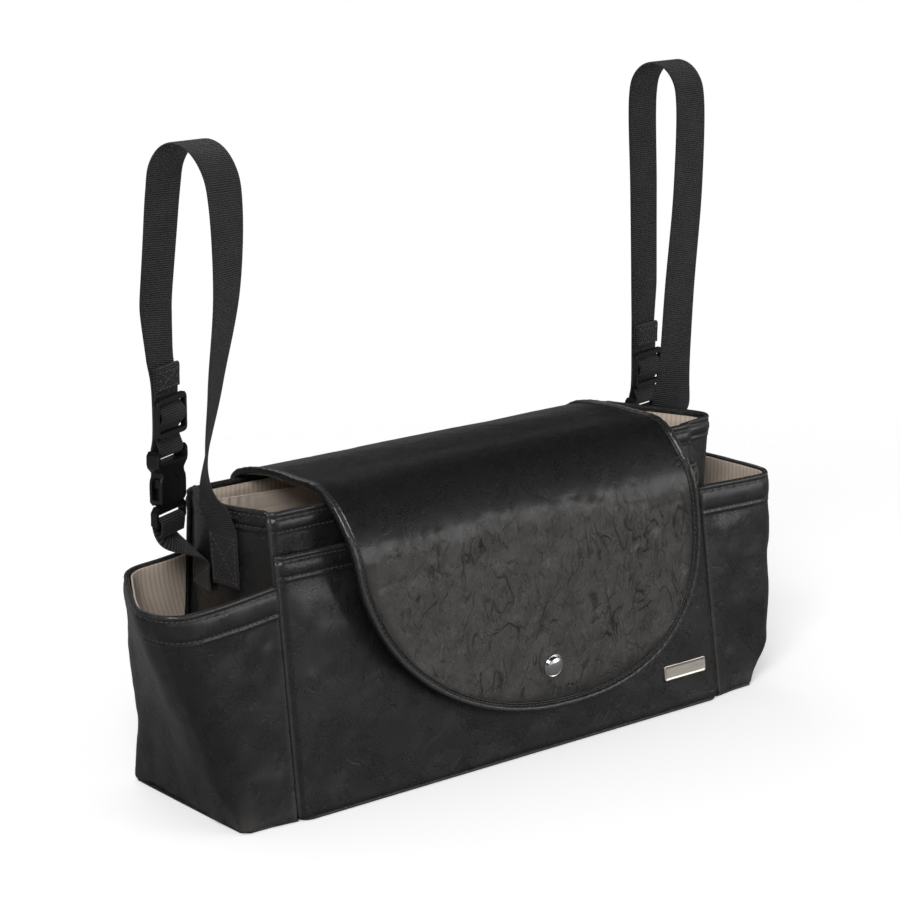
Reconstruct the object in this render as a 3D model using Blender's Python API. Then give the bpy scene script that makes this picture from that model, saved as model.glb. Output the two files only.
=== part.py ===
"""Stroller organizer: a soft bag with a flap, two end pockets and two buckled strap loops."""

import math

import bmesh
import bpy
import numpy as np

MM = 0.001

# Main bag
LENGTH = 345 * MM
DEPTH = 130 * MM
RIM_HEIGHT = 183 * MM
BACK_RIM_DROP = 3 * MM
FRONT_LEAN = 26 * MM
BACK_LEAN = 12 * MM
SIDE_DRAW = {-1: 1.5 * MM, 1: 6.5 * MM}
SIDE_BOW = {-1: 12 * MM, 1: 22 * MM}
BOW_SKEW = {-1: 1.0, 1: 0.55}
SKIN = 2.2 * MM
LINING = 1.0 * MM
GAP = 0.4 * MM
BASE_CORNER = 8 * MM
EDGE_ROLL = 5 * MM
ROLL_IN = 0.45 * EDGE_ROLL
BACK_PUFF = 2.5 * MM
HEM_EXTRA = 1.0 * MM
HEM_STEP = 0.8 * MM
HEM_RISE = 1.2 * MM
RIM_EASE = 1.5 * MM
RIM_HEM = 12 * MM
LINING_DROP = 5 * MM
GUSSET_TO_LINING = 3.2 * MM
SLIP_LAYER = SKIN + GAP + HEM_EXTRA
PANEL_DEPTH = ROLL_IN + SKIN + HEM_EXTRA + 2 * GAP
SEAM_ROOM = 0.6 * MM
SLOPE_STEP = 2 * MM

# Front slip pocket
SLIP_HEIGHT = 158 * MM
SLIP_BULGE = 9 * MM
SLIP_HEM = 14 * MM
SLIP_PUFF = 1.0 * MM

# End pockets
POCKET_HEIGHT = 141 * MM
POCKET_BASE_OUT = 38.6 * MM
POCKET_INSET = 4.5 * MM
POCKET_FOOT_CORNER = 4 * MM
POCKET_FOOT_RISE = 20 * MM
POCKET_CORNER = 9 * MM
POCKET_BACK_CORNER = 1.15
POCKET_BELLY = {-1: 3 * MM, 1: 9 * MM}
POCKET_BELLY_RISE = 30 * MM
POCKET_SEAM_TUCK = 0.6 * MM
POCKET_FRONT_PULL = {-1: 5 * MM, 1: 0 * MM}
POCKET_RIM_OUT = {-1: 84 * MM, 1: 70 * MM}
POCKET_RIM_CORNER = {-1: 26 * MM, 1: 15 * MM}
POCKET_RIM_TAPER = {-1: 26 * MM, 1: 4 * MM}
POCKET_RIM_BACK = {-1: 6 * MM, 1: 0.5 * MM}
POCKET_RIM_SAG = {-1: 3 * MM, 1: 1 * MM}
POCKET_HEM = 18 * MM
POCKET_LINING_DROP = 4 * MM
POCKET_BASE_EASE = 0.2 * MM
POCKET_STEPS = 25

# Inner pockets on the back wall
ELASTIC_SPAN = (-158 * MM, -20 * MM)
ELASTIC_HEIGHTS = (70 * MM, 168 * MM)
ELASTIC_STAND = 10 * MM
GATHER = 0.7 * MM
GATHER_FOLDS = 6
GATHER_DEPTH = 30 * MM
FLAT_SPAN = (0 * MM, 156 * MM)
FLAT_HEIGHTS = (60 * MM, 160 * MM)
FLAT_STAND = 9 * MM

# Flap
FLAP_CENTRE_X = 5 * MM
FLAP_HALF = 140 * MM
FLAP_SKEW = 37 * MM
FLAP_THICK = 2.6 * MM
FLAP_CURVE_TOP = 150 * MM
FLAP_HEM_Z = 27 * MM
FLAP_POWER = 2.2
FLAP_ROOT_DROP = 15 * MM
FLAP_SEAM_STAND = 1.5 * MM
FLAP_SEAM_DROP = 3 * MM
FLAP_BACK_IN = 4 * MM
FLAP_BACK_RISE = 4.5 * MM
FLAP_CROWN_RISE = 10 * MM
FLAP_CROWN_BACK_Y = 24 * MM
FLAP_CROWN_FRONT_Y = -4 * MM
FLAP_SHOULDER_Y = -36 * MM
FLAP_SHOULDER_RISE = 4.5 * MM
FLAP_FOLD_Y = -59 * MM
FLAP_FOLD_Z = 160 * MM
FLAP_DROP_Y = -63 * MM
FLAP_DROP_Z = 130 * MM
FLAP_HEM_Y = -66.5 * MM
FLAP_HANG = 40 * MM
FLAP_LEFT_LIFT = 4 * MM
BINDING_WIDTH = 7 * MM
BINDING_THICK = 4.0 * MM

# Metal trim
SNAP_X = 21.5 * MM
SNAP_Z = 57 * MM
SNAP_RADIUS = 7.5 * MM
SNAP_DOME = 3.4 * MM
SNAP_SOCKET_RADIUS = 5.5 * MM
SOCKET_THICK = 1.8 * MM
PLATE_X = 141.5 * MM
PLATE_Z = 27.2 * MM
PLATE_SIZE = (37 * MM, 10 * MM, 1.2 * MM)
PLATE_CORNER = 1.6 * MM

# Straps
WEB = 25 * MM
WEB_THICK = 1.4 * MM
TAB_LENGTH = 17 * MM
SEWN_LENGTH = 34 * MM
SEWN_DROP = 16 * MM
RIM_CLEAR = 14 * MM
RUN_EASE = 30 * MM
RUN_BACK = 1.6
TURN_EASE = 12 * MM
TWIST_SLOW = 1.3

# Side-release buckle
BUCKLE_WIDTH = 32 * MM
BUCKLE_BODY = 27 * MM
BUCKLE_NECK = 23 * MM
BUCKLE_HEIGHT = 34 * MM
BUCKLE_NECK_Z = 19.5 * MM
BUCKLE_SHOULDER_Z = 25 * MM
BUCKLE_THICK = 9 * MM
BUCKLE_WALL = 1.7 * MM
BUCKLE_CORNER = 2 * MM
BUCKLE_EDGE = 0.8 * MM
LOOP_SLOT = 5.2 * MM
LOOP_BAR = 3.0 * MM
SLOT_ROOM = 1 * MM
RELIEF_STEP = 0.2 * MM
OVERCUT = 1 * MM
WINDOW_Z = 4 * MM
WINDOW_HEIGHT = 13 * MM
WINDOW_LIP = 0.4 * MM
CHANNEL = 21.5 * MM
CHANNEL_TAPER = 2.6 * MM
ARCH_WIDTH = 15 * MM
ARCH_HEIGHT = 18.5 * MM
ARCH_DEPTH = 0.5 * MM
TONGUE_REACH = 20 * MM
TONGUE_BODY = 13 * MM
TONGUE_THICK = 4.4 * MM
TONGUE_ROOM = 0.5 * MM
TONGUE_SHOULDER = 3 * MM
PRONG_WIDTH = 5 * MM
PRONG_WAIST = 2.2 * MM
PRONG_TIP = 3.2 * MM
GUIDE_WIDTH = 4 * MM

# Slider
SLIDER_SIZE = (32 * MM, 24.5 * MM)
SLIDER_THICK = 3.6 * MM
SLIDER_CORNER = 3 * MM
SLIDER_EDGE = 0.7 * MM
SLIDER_FORWARD = 3.0 * MM
SLIDER_BAR = 3.4 * MM
SLIDER_MID = 4.2 * MM
SLIDER_ENTRY = 8 * MM
SLIDER_LEAD = 34 * MM
OVER_BAR = 2.4 * MM
MAIN_LAYER = -1.7 * MM
RETURN_LAYER = 0.2 * MM

# Webbing tab below the buckle: how far under the tongue it is sewn, peels off and closes
TAB_SEWN = 44 * MM
TAB_PEEL = 24 * MM
TAB_LEAD = 7 * MM
TAB_CLOSE = 6 * MM
TAB_FORWARD = 3 * MM
TAB_EASE = 4 * MM
TAB_TWIST = 22 * MM

# Each strap: out beyond the bag's end, in from its back face at the floor, up from its rim or from the buckle
BUCKLE_OUT = {-1: 26.5 * MM, 1: 22.5 * MM}
BUCKLE_IN = {-1: 34.5 * MM, 1: 26.5 * MM}
BUCKLE_RISE = {-1: -1 * MM, 1: -31.5 * MM}
BUCKLE_TURN = {-1: 23, 1: 12}
SLIDER_RISE = {-1: 53.6 * MM, 1: 53.5 * MM}
SPLIT_RISE = {-1: 118 * MM, 1: 110.5 * MM}
LOOP_OUT = {-1: 18.5 * MM, 1: 22.5 * MM}
LOOP_RISE = {-1: 218 * MM, 1: 232 * MM}
LOOP_FRONT_IN = {-1: 89 * MM, 1: 66 * MM}
LOOP_LOW_IN = {-1: 64 * MM, 1: 55 * MM}
LOOP_BACK_IN = {-1: 25 * MM, 1: 21 * MM}
LOOP_SPLIT_IN = {-1: 19 * MM, 1: 26 * MM}
SEWN_IN = {-1: 66 * MM, 1: 59 * MM}
TWIST_EARLY = {-1: 0.63, 1: 0.12}
TWIST_LATE = {-1: 14, 1: 24}


def strap_places(side):
    """Where one strap's buckle, slider and loop stand, from the bag's own sizes."""
    back, end = DEPTH / 2, LENGTH / 2
    buckle_z = RIM_HEIGHT + BUCKLE_RISE[side]
    return {
        "buckle": (side * (end + BUCKLE_OUT[side]), back - BUCKLE_IN[side], buckle_z),
        "turn": BUCKLE_TURN[side],
        "slider_z": buckle_z + SLIDER_RISE[side],
        "split_z": buckle_z + SPLIT_RISE[side],
        "top_z": RIM_HEIGHT + LOOP_RISE[side],
        "x": side * (end + LOOP_OUT[side]),
        "front_y": (back - LOOP_FRONT_IN[side], back - LOOP_LOW_IN[side]),
        "back_y": (back - LOOP_BACK_IN[side], back - LOOP_SPLIT_IN[side]),
        "sewn_y": back - SEWN_IN[side],
    }


STRAPS = {side: strap_places(side) for side in (-1, 1)}

BLACK_LEATHER = ((0.012, 0.012, 0.013), 0.38, 0.0)
BLACK_WEB = ((0.016, 0.016, 0.017), 0.8, 0.0)
BLACK_PLASTIC = ((0.014, 0.014, 0.015), 0.35, 0.0)
BEIGE_LINING = ((0.52, 0.43, 0.34), 0.6, 0.0)
CHROME = ((0.78, 0.78, 0.78), 0.12, 1.0)
SATIN_METAL = ((0.68, 0.63, 0.57), 0.32, 1.0)


def smooth(t):
    t = np.clip(t, 0.0, 1.0)
    return t * t * (3 - 2 * t)


def place(name, mesh, look, origin=(0, 0, 0)):
    colour, roughness, metallic = look
    material = bpy.data.materials.new(name)
    material.use_nodes = True
    shader = material.node_tree.nodes["Principled BSDF"]
    shader.inputs["Base Color"].default_value = (*colour, 1)
    shader.inputs["Roughness"].default_value = roughness
    shader.inputs["Metallic"].default_value = metallic
    mesh.materials.append(material)
    body = bpy.data.objects.new(name, mesh)
    bpy.context.scene.collection.objects.link(body)
    body.location = origin
    return body


def solid(name, points, faces, look, origin=(0, 0, 0), round_shade=True):
    """One closed body from points and faces, its faces turned outwards."""
    mesh = bpy.data.meshes.new(name)
    shifted = np.asarray(points, float) - np.asarray(origin, float)
    mesh.from_pydata([tuple(p) for p in shifted], [], [tuple(int(i) for i in f) for f in faces])
    work = bmesh.new()
    work.from_mesh(mesh)
    bmesh.ops.remove_doubles(work, verts=work.verts, dist=1e-6)
    bmesh.ops.recalc_face_normals(work, faces=work.faces)
    for face in work.faces:
        face.smooth = round_shade
    work.to_mesh(mesh)
    work.free()
    return place(name, mesh, look, origin)


def slab(name, grid, thick, look, round_shade=True):
    """A sheet of the given thickness around a grid of middle points."""
    rows, cols = grid.shape[:2]
    normal = np.cross(np.gradient(grid, axis=0), np.gradient(grid, axis=1))
    normal /= np.linalg.norm(normal, axis=2, keepdims=True)
    half = np.broadcast_to(np.asarray(thick), (rows, cols))[..., None] / 2
    points = np.concatenate([(grid + normal * half).reshape(-1, 3), (grid - normal * half).reshape(-1, 3)])
    at = np.arange(rows * cols).reshape(rows, cols)
    under = at + rows * cols
    faces = []
    for i in range(rows - 1):
        for j in range(cols - 1):
            faces.append((at[i, j], at[i + 1, j], at[i + 1, j + 1], at[i, j + 1]))
            faces.append((under[i, j], under[i, j + 1], under[i + 1, j + 1], under[i + 1, j]))
    rim = [*at[0], *at[1:, -1], *at[-1, -2::-1], *at[-2:0:-1, 0]]
    for k, a in enumerate(rim):
        b = rim[(k + 1) % len(rim)]
        faces.append((a, b, b + rows * cols, a + rows * cols))
    return solid(name, points, faces, look, round_shade=round_shade)


def loft(name, loops, look, origin=(0, 0, 0), round_shade=True):
    """Closed loops joined one to the next, with the first and the last closed by a fan."""
    loops = np.asarray(loops, float)
    count, size = loops.shape[:2]
    points = np.concatenate([loops.reshape(-1, 3), [loops[0].mean(0)], [loops[-1].mean(0)]])
    faces = []
    for k in range(count - 1):
        for i in range(size):
            j = (i + 1) % size
            faces.append((k * size + i, k * size + j, (k + 1) * size + j, (k + 1) * size + i))
    for i in range(size):
        j = (i + 1) % size
        faces.append((count * size, j, i))
        faces.append((count * size + 1, (count - 1) * size + i, (count - 1) * size + j))
    return solid(name, points, faces, look, origin, round_shade)


def rounded_rectangle(width, height, radius, steps=4):
    """A closed outline around the origin."""
    points = []
    for k in range(4):
        middle = (
            (width / 2 - radius) * (1, -1, -1, 1)[k],
            (height / 2 - radius) * (1, 1, -1, -1)[k],
        )
        for i in range(steps + 1):
            angle = math.radians(90 * k + 90 * i / steps)
            points.append((middle[0] + radius * math.cos(angle), middle[1] + radius * math.sin(angle)))
    return np.array(points)


def curve_through(stations, count):
    """Points evenly spaced along a smooth curve through the stations, however unevenly those lie."""
    s = np.asarray(stations, float)
    ends = np.concatenate([[2 * s[0] - s[1]], s, [2 * s[-1] - s[-2]]])
    knots = np.concatenate([[0], np.cumsum(np.sqrt(np.linalg.norm(np.diff(ends, axis=0), axis=1)))])
    fine = []
    for k in range(1, len(ends) - 2):
        p, q = ends[k - 1 : k + 3], knots[k - 1 : k + 3]
        for t in np.linspace(q[1], q[2], 24, endpoint=False):
            near = [((q[i + 1] - t) * p[i] + (t - q[i]) * p[i + 1]) / (q[i + 1] - q[i]) for i in range(3)]
            wide = []
            for i in range(2):
                wide.append(((q[i + 2] - t) * near[i] + (t - q[i]) * near[i + 1]) / (q[i + 2] - q[i]))
            fine.append(((q[2] - t) * wide[0] + (t - q[1]) * wide[1]) / (q[2] - q[1]))
    fine = np.array([*fine, s[-1]])
    along = np.concatenate([[0], np.cumsum(np.linalg.norm(np.diff(fine, axis=0), axis=1))])
    wanted = np.linspace(0, along[-1], count)
    return np.stack([np.interp(wanted, along, fine[:, i]) for i in range(fine.shape[1])], -1)


def front_y(z):
    return -DEPTH / 2 + FRONT_LEAN * z / RIM_HEIGHT


def back_y(z):
    return DEPTH / 2 - BACK_LEAN * z / RIM_HEIGHT


def side_x(side, z):
    return side * (LENGTH / 2 - SIDE_DRAW[side] * z / RIM_HEIGHT)


def bow_x(side, share, z):
    """How far the gusset stands out beyond its seams; share runs from the front seam to the back one."""
    reach = SIDE_BOW[side] * (max(z, 0.0) / RIM_HEIGHT) ** 1.5
    return side * reach * np.sin(math.pi * np.clip(share, 0, 1) ** BOW_SKEW[side])


def gusset_span(z):
    """The gusset's front and back edges at a height, clear of the panels that it is sewn to."""
    return front_y(z) + SLIP_LAYER + PANEL_DEPTH + SEAM_ROOM, back_y(z) - PANEL_DEPTH - SEAM_ROOM


def gusset_x(side, y, z):
    """Middle of the gusset's skin at a depth and height."""
    near, far = gusset_span(z)
    share = (y - near) / (far - near)
    return side_x(side, z) - side * SKIN / 2 + bow_x(side, share, z)


def gusset_slope(side, y, z):
    return (gusset_x(side, y + SLOPE_STEP, z) - gusset_x(side, y - SLOPE_STEP, z)) / (2 * SLOPE_STEP)


def sewn_turn(side, y, z):
    """The turn of webbing that lies flat on the gusset."""
    return -side * 90 - math.degrees(math.atan(gusset_slope(side, y, z)))


def hem_rows(low, top, hem, rows):
    """Heights with rows close together at a hem's lower edge."""
    plain = np.linspace(low, top - hem - HEM_STEP, rows)
    return np.concatenate([plain, [top - hem, top - hem + HEM_RISE, top - RIM_EASE, top]])


def hem_thickness(heights, top, hem, base):
    inside = smooth((heights - (top - hem - HEM_STEP)) / (HEM_STEP + HEM_RISE))
    end = 1 - 0.5 * smooth((heights - (top - RIM_EASE)) / RIM_EASE)
    return (base + HEM_EXTRA * inside) * end


def long_panel(name, out, low, top, hem, offset=0.0, bulge=0.0, puff=0.0, rows=5, cols=25):
    """A front or back panel: out is -1 for the front, 1 for the back."""
    heights = hem_rows(low, top, hem, rows)
    thick = hem_thickness(heights, top, hem, SKIN)
    grid = np.zeros((len(heights), cols, 3))
    for i, z in enumerate(heights):
        left, right = side_x(-1, z), side_x(1, z)
        span = right - left
        edge = EDGE_ROLL / span
        ends = np.linspace(0, edge, 3)
        share = np.concatenate([ends[:-1], np.linspace(edge, 1 - edge, cols - 4), 1 - ends[-2::-1]])
        x = left + share * span
        near = np.minimum(share, 1 - share) * span
        roll = ROLL_IN * (1 - smooth(near / EDGE_ROLL)) ** 1.4
        wave = np.sin(math.pi * share) ** 0.8
        mouth = smooth(z / top) ** 1.2
        belly = puff * wave * math.sin(math.pi * min(z / top, 1))
        belly += bulge * np.sin(math.pi * share) ** 2 * mouth
        base = front_y(z) if out < 0 else back_y(z)
        grid[i, :, 0] = x
        grid[i, :, 1] = base + out * (offset - SKIN / 2 + belly) - out * roll
        grid[i, :, 2] = z
    return slab(name, grid, thick[:, None], BLACK_LEATHER)


def gusset(name, side, rows=5, cols=13):
    low = SKIN + GAP
    heights = hem_rows(low, RIM_HEIGHT, RIM_HEM, rows)
    thick = hem_thickness(heights, RIM_HEIGHT, RIM_HEM, SKIN)
    grid = np.zeros((len(heights), cols, 3))
    for i, z in enumerate(heights):
        y = np.linspace(*gusset_span(z), cols)
        grid[i, :, 0] = [gusset_x(side, v, z) - side * HEM_EXTRA / 2 for v in y]
        grid[i, :, 1] = y
        grid[i, :, 2] = z
    return slab(name, grid, thick[:, None], BLACK_LEATHER)


def base_plate(name, outline):
    """A flat panel on the floor."""
    loops = [[(x, y, z) for x, y in outline] for z in (0.0, SKIN)]
    return loft(name, loops, BLACK_LEATHER, round_shade=False)


def body_outline(z, inset, count):
    """The main bag's inside outline at a height, inset from the outer faces, as a closed loop."""
    points = []
    low, high = front_y(z) + SLIP_LAYER + inset, back_y(z) - inset
    for side, back in ((1, False), (-1, True)):
        x0 = side_x(-side, z) + side * inset
        x1 = side_x(side, z) - side * inset
        y = high if back else low
        points += [(x, y) for x in np.linspace(x0, x1, count + 2)[:-1]]
        ys = np.linspace(low, high, count)
        ys = ys[::-1] if back else ys
        for v in ys[:-1]:
            slope = gusset_slope(side, v, z)
            reach = HEM_EXTRA / 2 + (inset - GUSSET_TO_LINING) * math.hypot(1, slope)
            points.append((gusset_x(side, v, z) - side * reach, v))
    return np.array(points)


def lining(name):
    """The lining: an open box hung inside the four walls."""
    outer = PANEL_DEPTH
    inner = outer + LINING
    bottom = SKIN + GAP
    top = RIM_HEIGHT - BACK_RIM_DROP - LINING_DROP
    heights = np.linspace(bottom, top, 5)
    loops = [[(x, y, z) for x, y in body_outline(z, outer, 12)] for z in heights]
    back_down = [*heights[:0:-1], bottom + LINING]
    loops += [[(x, y, z) for x, y in body_outline(z, inner, 12)] for z in back_down]
    return loft(name, loops, BEIGE_LINING)


def pocket_outline(side, z, inset, count=12):
    """An end pocket's wall from the front seam round to the back seam, as an open line."""
    t = z / POCKET_HEIGHT
    flare = smooth(t) * 0.55 + 0.45 * t
    out = POCKET_BASE_OUT + (POCKET_RIM_OUT[side] - POCKET_BASE_OUT) * flare
    out += POCKET_BELLY[side] * smooth(z / POCKET_BELLY_RISE) * (1 - flare) - inset
    corner = POCKET_FOOT_CORNER + (POCKET_CORNER - POCKET_FOOT_CORNER) * smooth(z / POCKET_FOOT_RISE)
    corner += (POCKET_RIM_CORNER[side] - POCKET_CORNER) * flare
    taper = POCKET_RIM_TAPER[side] * flare
    tuck = POCKET_INSET * (1 - flare) + POCKET_SEAM_TUCK
    low = front_y(z) + tuck + inset - POCKET_FRONT_PULL[side] * flare
    high = back_y(z) - tuck - inset - POCKET_RIM_BACK[side] * flare
    x0 = side_x(side, z) + side * (GAP + SKIN)
    near = (x0, front_y(z) + SKIN + inset)
    far = (x0, back_y(z) - SKIN - inset)
    x1 = side_x(side, z) + side * out
    line = [near, ((x0 * 0.6 + x1 * 0.4), low * 0.8 + near[1] * 0.2)]
    middle = np.array((x1 - side * corner, low + corner))
    for angle in np.radians(np.linspace(-90, 0, count // 2 + 1)):
        line.append(middle + corner * np.array((side * math.cos(angle), math.sin(angle))))
    back_corner = corner * POCKET_BACK_CORNER
    x2 = x1 - side * taper
    middle = np.array((x2 - side * back_corner, high - back_corner))
    for angle in np.radians(np.linspace(0, 90, count // 2 + 1)):
        line.append(middle + back_corner * np.array((side * math.cos(angle), math.sin(angle))))
    line += [((x0 * 0.6 + x2 * 0.4), high * 0.85 + far[1] * 0.15), far]
    return curve_through(line, POCKET_STEPS)


def pocket_grid(side, heights):
    """Middle points of an end pocket's wall."""
    grid = np.zeros((len(heights), POCKET_STEPS, 3))
    for i, z in enumerate(heights):
        line = pocket_outline(side, z, SKIN / 2)
        reach = np.abs(line[:, 0] - side_x(side, z)) / POCKET_RIM_OUT[side]
        grid[i, :, :2] = line
        grid[i, :, 2] = z - POCKET_RIM_SAG[side] * smooth(reach) * smooth(z / POCKET_HEIGHT) ** 2
    return grid


def pocket_wall(name, side):
    heights = hem_rows(SKIN + GAP, POCKET_HEIGHT, POCKET_HEM, 6)
    thickness = hem_thickness(heights, POCKET_HEIGHT, POCKET_HEM, SKIN)
    return slab(name, pocket_grid(side, heights), thickness[:, None], BLACK_LEATHER)


def pocket_lining(name, side):
    """The lining, a step inside the wall, from the gusset round to the gusset."""
    grid = pocket_grid(side, np.linspace(SKIN + GAP + LINING, POCKET_HEIGHT - POCKET_LINING_DROP, 6))
    normal = np.cross(np.gradient(grid, axis=0), np.gradient(grid, axis=1))
    normal[..., 2] = 0
    normal /= np.linalg.norm(normal, axis=2, keepdims=True)
    outwards = np.sign(normal[3, POCKET_STEPS // 2, 0]) * side
    grid = grid - outwards * normal * (SKIN / 2 + HEM_EXTRA / 2 + GAP + LINING / 2)
    return slab(name, grid[:, 2:-2], LINING, BEIGE_LINING)


def pocket_base(name, side):
    """The flat floor of an end pocket."""
    line = pocket_outline(side, SKIN, POCKET_BASE_EASE)
    x0 = side * (LENGTH / 2 + GAP)
    outline = [(x0, line[0][1]), *line[1:-1], (x0, line[-1][1])]
    return base_plate(name, outline)


def flap_path(lift):
    """The flap's run from its seam on the back, over the opening and down the front."""
    seam = BINDING_THICK / 2 + GAP
    root_z = RIM_HEIGHT - BACK_RIM_DROP - FLAP_ROOT_DROP
    stations = [
        (back_y(root_z) + seam + HEM_EXTRA / 2, root_z),
        (back_y(RIM_HEIGHT) + seam + FLAP_SEAM_STAND, RIM_HEIGHT - FLAP_SEAM_DROP),
        (back_y(RIM_HEIGHT) - FLAP_BACK_IN, RIM_HEIGHT + FLAP_BACK_RISE + lift * 0.2),
        (FLAP_CROWN_BACK_Y, RIM_HEIGHT + (FLAP_CROWN_RISE + lift) * 0.9),
        (FLAP_CROWN_FRONT_Y, RIM_HEIGHT + FLAP_CROWN_RISE + lift),
        (FLAP_SHOULDER_Y, RIM_HEIGHT + FLAP_SHOULDER_RISE + lift * 0.6),
        (FLAP_FOLD_Y - lift, FLAP_FOLD_Z),
        (FLAP_DROP_Y - lift * 0.9, FLAP_DROP_Z),
        (FLAP_HEM_Y, FLAP_HEM_Z + FLAP_HANG),
        (FLAP_HEM_Y, FLAP_HEM_Z),
    ]
    return curve_through(stations, 200)


FLAP_PATHS = (flap_path(FLAP_LEFT_LIFT), flap_path(0.0))
FLAP_ROWS = (15, 10)
FLAP_COLS = 19


def flap_point(x, share):
    """A point of the flap's middle surface; share is 0 at the back seam and 1 at the hem's height."""
    mix = np.clip((x - FLAP_CENTRE_X) / (2 * FLAP_HALF) + 0.5, 0, 1)
    at = np.clip(share, 0, 1) * 199
    found = []
    for path in FLAP_PATHS:
        found.append([np.interp(at, np.arange(200), path[:, i]) for i in (0, 1)])
    y, z = (1 - mix) * np.array(found[0]) + mix * np.array(found[1])
    return x, y, z


def share_at_height(z):
    """Where the drop down the front passes a height."""
    path = 0.5 * (FLAP_PATHS[0] + FLAP_PATHS[1])
    drop = path[110:]
    return np.interp(-z, -drop[:, 1], np.arange(110, 200)) / 199


CURVE_SHARE = share_at_height(FLAP_CURVE_TOP)


def flap_centre(share):
    """The flap closes a little askew: its middle drifts along X towards the hem."""
    fall = np.clip((share - 0.35) / 0.65, 0, 1)
    return FLAP_CENTRE_X + FLAP_SKEW * fall**2


def flap_at(a, b, inset):
    """A point of the flap: a runs across, b from -1 at the seam to 0 where the end rounds off and 1."""
    half = FLAP_HALF - inset
    if b <= 0:
        share = CURVE_SHARE * (1 + b)
        return flap_point(flap_centre(share) + a * half, share)
    across, down = a * math.sqrt(1 - b * b / 2), b * math.sqrt(1 - a * a / 2)
    size = math.hypot(across, down) or 1.0
    stretch = (abs(across / size) ** FLAP_POWER + abs(down / size) ** FLAP_POWER) ** (-1 / FLAP_POWER)
    depth = (FLAP_CURVE_TOP - FLAP_HEM_Z - inset) * down * stretch
    share = share_at_height(FLAP_CURVE_TOP - depth)
    return flap_point(flap_centre(share) + across * stretch * half, share)


def flap(name):
    inset = BINDING_WIDTH + GAP
    rows = [*np.linspace(-1, 0, FLAP_ROWS[0]), *np.linspace(0, 1, FLAP_ROWS[1])[1:]]
    grid = np.array([[flap_at(a, b, inset) for a in np.linspace(-1, 1, FLAP_COLS)] for b in rows])
    return slab(name, grid, FLAP_THICK, BLACK_LEATHER)


def flap_edge(inset):
    """The flap's edge from the left seam, round the hem, to the right seam."""
    rows = [*np.linspace(-1, 0, FLAP_ROWS[0]), *np.linspace(0, 1, FLAP_ROWS[1])[1:]]
    line = [flap_at(-1, b, inset) for b in rows]
    line += [flap_at(a, 1, inset) for a in np.linspace(-1, 1, FLAP_COLS)[1:]]
    line += [flap_at(1, b, inset) for b in rows[-2::-1]]
    return np.array(line)


def flap_binding(name):
    """The tape folded round the flap's edge."""
    outer, inner = flap_edge(0.0), flap_edge(BINDING_WIDTH)
    along = np.gradient(0.5 * (outer + inner), axis=0)
    across = outer - inner
    normal = np.cross(along, across)
    normal /= np.linalg.norm(normal, axis=1, keepdims=True)
    half = BINDING_THICK / 2
    profile = ((0.0, 0.6), (0.2, 1.0), (0.8, 0.9), (1.0, 0.3))
    profile = (*profile, *[(u, -v) for u, v in profile[::-1]])
    loops = []
    for k in range(len(outer)):
        loops.append([inner[k] + across[k] * u + normal[k] * v * half for u, v in profile])
    return loft(name, loops, BLACK_LEATHER)


def disc(name, profile, centre, look, turns=20):
    """A round piece on an axis along Y, tilted with the flap: profile pairs of radius and reach."""
    loops = []
    for radius, reach in profile:
        angle = np.linspace(0, 2 * math.pi, turns, endpoint=False)
        ring = np.stack([radius * np.cos(angle), np.full(turns, -reach), radius * np.sin(angle)], -1)
        loops.append(ring + np.asarray(centre))
    return loft(name, loops, look)


def snap_parts():
    x, y, z = flap_point(SNAP_X, share_at_height(SNAP_Z))
    face = y - FLAP_THICK / 2 - GAP
    rim = ((0.96, 0), (1, 0.1), (1, 0.25), (0.92, 0.33), (0.86, 0.3))
    cap = [(SNAP_RADIUS * u, SNAP_DOME * v) for u, v in rim]
    cap += [
        (SNAP_RADIUS * 0.84 * math.cos(t), SNAP_DOME * (0.3 + 0.7 * math.sin(t)))
        for t in np.radians((8, 25, 45, 65, 82))
    ]
    disc("snap_cap", cap, (x, face, z), CHROME)
    back = y + FLAP_THICK / 2 + GAP
    socket = (
        (SNAP_SOCKET_RADIUS, 0),
        (SNAP_SOCKET_RADIUS, -0.78 * SOCKET_THICK),
        (SNAP_SOCKET_RADIUS * 0.6, -SOCKET_THICK),
    )
    disc("snap_socket", socket, (x, back, z), CHROME)


def slip_face(x, z):
    """The slip pocket's outer face."""
    share = (x - side_x(-1, z)) / (side_x(1, z) - side_x(-1, z))
    wave = math.sin(math.pi * share)
    mouth = smooth(z / SLIP_HEIGHT) ** 1.2
    puff = SLIP_PUFF * wave**0.8 * math.sin(math.pi * z / SLIP_HEIGHT)
    return front_y(z) - SLIP_BULGE * wave**2 * mouth - puff


def snap_stud():
    """The stud on the slip pocket, as tall as the room between its face and the socket."""
    y = slip_face(SNAP_X, SNAP_Z - SNAP_SOCKET_RADIUS) - GAP
    socket = flap_point(SNAP_X, share_at_height(SNAP_Z))[1] + FLAP_THICK / 2 + GAP + SOCKET_THICK
    reach = y - socket - GAP
    stud = (
        (SNAP_SOCKET_RADIUS, 0),
        (SNAP_SOCKET_RADIUS, 0.4 * reach),
        (0.4 * SNAP_SOCKET_RADIUS, 0.5 * reach),
        (0.36 * SNAP_SOCKET_RADIUS, reach),
    )
    disc("snap_stud", stud, (SNAP_X, y, SNAP_Z), CHROME)


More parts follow.
